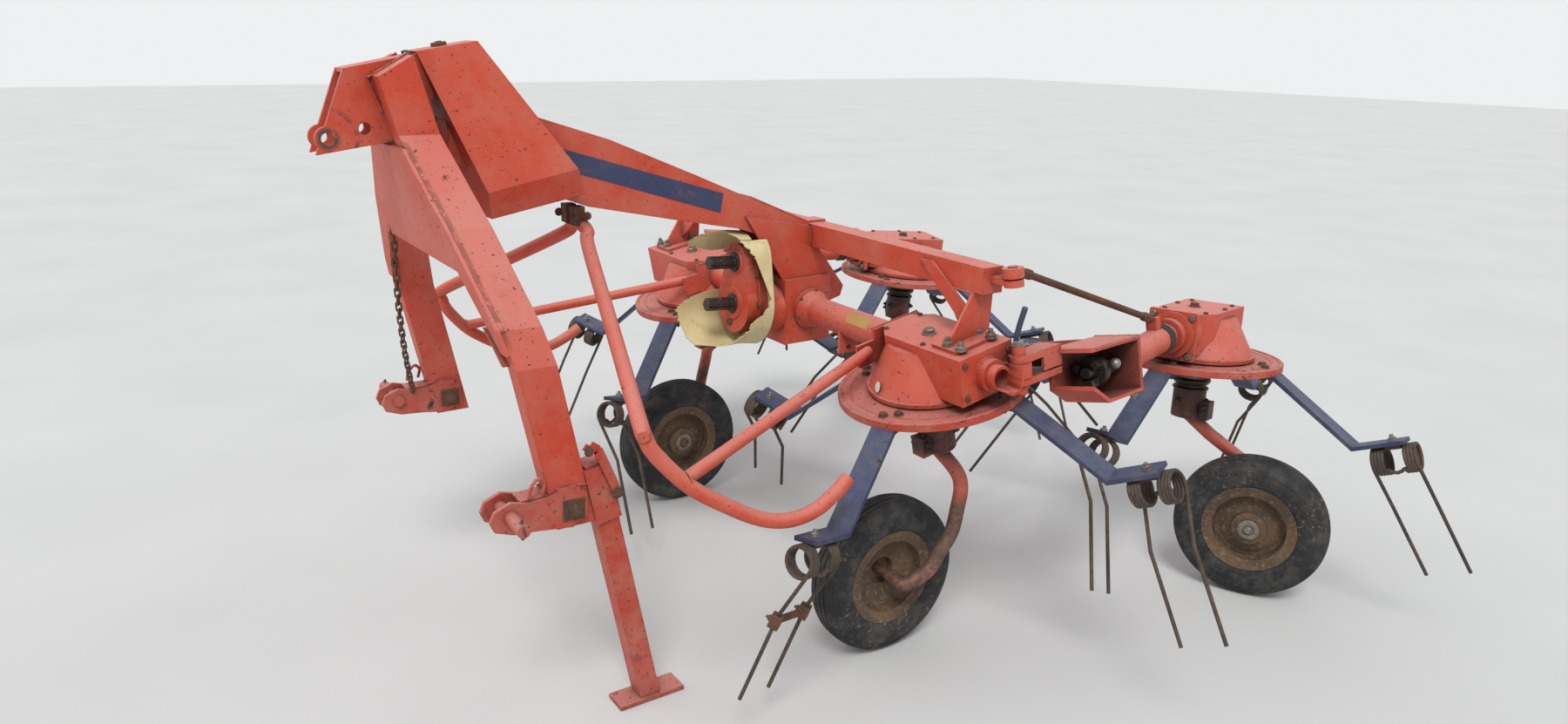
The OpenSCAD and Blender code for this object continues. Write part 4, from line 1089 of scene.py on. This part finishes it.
def wheel_details(name, matrix, body):
    bm = bmesh.new()
    lathe(bm, tyre_section(), 96, matrix)
    piece = make(f"tread_{name}", bm, "tyre", body, 28)
    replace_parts(piece, f"tyre_{name}")
    bm = bmesh.new()
    for z in (TYRE_W / 2 - 10, -TYRE_W / 2 + 10):
        ring(bm, matrix @ move(0, 0, z), RIM_R - 1, 2.6, 72, 8)
    for foot, edge in ((7, 10.2), (1, -5)):
        lathe(bm, [(81, foot), (82, edge), (90, edge), (91, foot)], 72, matrix)
    stem = matrix @ rot((0, 0, 1), 75)
    tube(bm, [stem @ Vector(p) for p in ((92, 0, -4), (90, 0, -16), (84, 0, -30))], [4, 4, 3], 10)
    make(f"rim_rings_{name}", bm, "rim", body, 35)
    bm = bmesh.new()
    lathe(bm, HUB_RING, 40, matrix @ FLIP)
    make(f"hub_ring_{name}", bm, "zinc", body, 30)


for side_name, s in SIDES:
    wheel_details(f"inner_{side_name}", sided(s) @ INNER_WHEEL, f"wheel_inner_{side_name}")
    wheel_details(f"outer_{side_name}", sided(s) @ OUTER_WHEEL, f"wheel_outer_{side_name}")
    bm = bmesh.new()
    bolt(bm, sided(s) @ OUTER_WHEEL @ FLIP @ move(0, 0, HUB_Z + 0.5), 11.5, thread=6, turn=12)
    make(f"axle_nut_outer_{side_name}", bm, "zinc", f"outer_unit_{side_name}", 30)

# Deep front edge of the upper fork arm, rusty stay rod and rounded noses of the head
FORK_EDGE, FORK_Z = [(50, -33), (112, -44.5), (112, -37), (50, -25.5)], (47, 95.5)
STAY = ((-13, -23.5, 279.3), (556, -69.9, 105.6))
HOLE_R, NOSE_R, CHEEK_IN, CHEEK_OUT = 12.9, 25, 26.8, 37.2
TILT = Vector((0, 0, 1)).rotation_difference(HINGE_AXIS).to_matrix().to_4x4()
for side_name, s in SIDES:
    unit = sided(s) @ UNIT
    bm = bmesh.new()
    prism(bm, FORK_EDGE, FORK_Z[0], FORK_Z[1], unit @ TILT)
    make(f"fork_edge_{side_name}", bm, "boom", f"outer_unit_{side_name}", 30)
    bm = bmesh.new()
    tube(bm, [unit @ p for p in line(*STAY, 12)], 8.5, 16)
    for t in (0.06, 0.94):
        knob = Vector(STAY[0]).lerp(Vector(STAY[1]), t)
        lathe(
            bm, [(8, -14), (12, -12), (12, 12), (8, 14)], 6,
            unit @ facing(knob, Vector(STAY[1]) - Vector(STAY[0]))
        )
    make(f"stay_rod_{side_name}", bm, "rust", f"outer_unit_{side_name}", 40)
bm = bmesh.new()
for s in (1, -1):
    nose = move(0, TOP_HOLE[1], TOP_HOLE_Z) @ ALONG_X
    lathe(
        bm,
        [(HOLE_R, s * CHEEK_IN), (NOSE_R, s * CHEEK_IN), (NOSE_R, s * CHEEK_OUT), (HOLE_R, s * CHEEK_OUT)],
        48, nose
    )
make("head_noses", bm, "head", "frame", 30)

# Hitch, stand and lever
LINCH_X, LINCH_Y = 514, -1014
bm = bmesh.new()
for s in (1, -1):
    ring(bm, facing((s * LINCH_X, LINCH_Y, 535), (0, 1, 0.2)), 15, 1.8, 30, 6)
    tube(bm, [Vector((s * LINCH_X, LINCH_Y, 514)), Vector((s * LINCH_X, LINCH_Y, 556))], 3.2, 10)
make("linch_pins", bm, "steel", "frame", 40)

bm = bmesh.new()
STRAP = [
    (446.5, -846, 640), (449, -838, 652), (449, -822, 640), (449, -806, 600), (449, -790, 560),
    (449, -783, 540)
]
HOOK = [(-973, 566), (-966, 590), (-950, 604), (-938, 592), (-944, 570)]
for s in (1, -1):
    tube(bm, smooth_path([(s * 446, y, z) for y, z in HOOK]), 4, 8)
    # Stand's swing piece, on the near side only: a bent strap on a bolt through the sleeve
    if s > 0:
        for a, b in zip(STRAP, STRAP[1:]):
            bar(bm, a, b, 20, 5, up=(1, 0, 0))
make("hitch_hooks", bm, "orange_worn", "frame", 30)
bm = bmesh.new()
bolt(bm, facing((452, -783, 536), (1, 0, 0)), 10, thread=6, turn=9)
bolt(bm, facing((452, -843, 640), (1, 0, 0)), 8, thread=4, turn=9)
make("stand_bolts", bm, "rust", "frame", 30)

bm = bmesh.new()
for s in (1, -1):
    tube(bm, smooth_path([(s * 760, 42, 796), (s * 768, 42, 850), (s * 785, 40, 905)]), 6.5, 12)
make("hinge_levers", bm, "navy", "frame", 40)

# Chain from the web's lower edge to the far lower link
CHAIN_TOP, CHAIN_LOW = Vector((-226, -1024, 1020)), Vector((-374, -977, 556))
LINKS, SAG, BOW = 26, 26, 10


def chain_point(t):
    """A place along the chain, which hangs in a shallow bow."""
    arch = math.sin(math.pi * t)
    return CHAIN_TOP.lerp(CHAIN_LOW, t) + Vector((0, 0, -SAG * arch)) + Vector((0, -BOW * arch, 0))


bm = bmesh.new()
for i in range(LINKS):
    a, b = chain_point(i / LINKS), chain_point((i + 1) / LINKS)
    mid, along_link = (a + b) / 2, (b - a)
    half = along_link.length / 2 + 3.6
    m = facing(mid, along_link, 90 * (i % 2) + 20)
    link = [(6.5 * x, 0, half * (1 if y > 0 else -1) * 0.55 + half * 0.45 * y) for x, y in circle(1, 14)]
    tube(bm, [m @ Vector(p) for p in link], 2.6, 6, closed=True)
make("chain_links", bm, "rust", "frame", 40)

# Block clips on the front tine of the left inner rotor
bm = bmesh.new()
paths, _ = tine_paths(-1)
turn = INNER @ rot((0, 0, 1), PHASES["inner_left"] + 270)
ends = []
for pts in paths:
    knee, after = turn @ pts[-4], turn @ pts[-3]
    t = (after - knee).normalized()
    centre = knee + t * 10
    ends.append(centre)
    m = facing(centre, t, 24)
    prism(bm, [(-13, -12), (13, -12), (13, 12), (-13, 12)], -14, 16, m, chamfer=2)
    bolt(bm, m @ move(0, 12, 0) @ rot((1, 0, 0), -90), 6.5, thread=4)
bar(bm, ends[0], ends[1], 16, 5, up=(0, 1, 0))
make("tine_clips", bm, "rust", "inner_rotor_left", 30)

# Small blank label left on the near gearbox's skirt
bm = bmesh.new()
label = INNER @ facing((-22, -144, 34), (-0.13, -0.94, 0.33))
prism(bm, [(9 * x, 13 * y) for x, y in circle(1, 18)], 0, 0.8, label)
make("skirt_label_blank", bm, "label", "frame", 30)
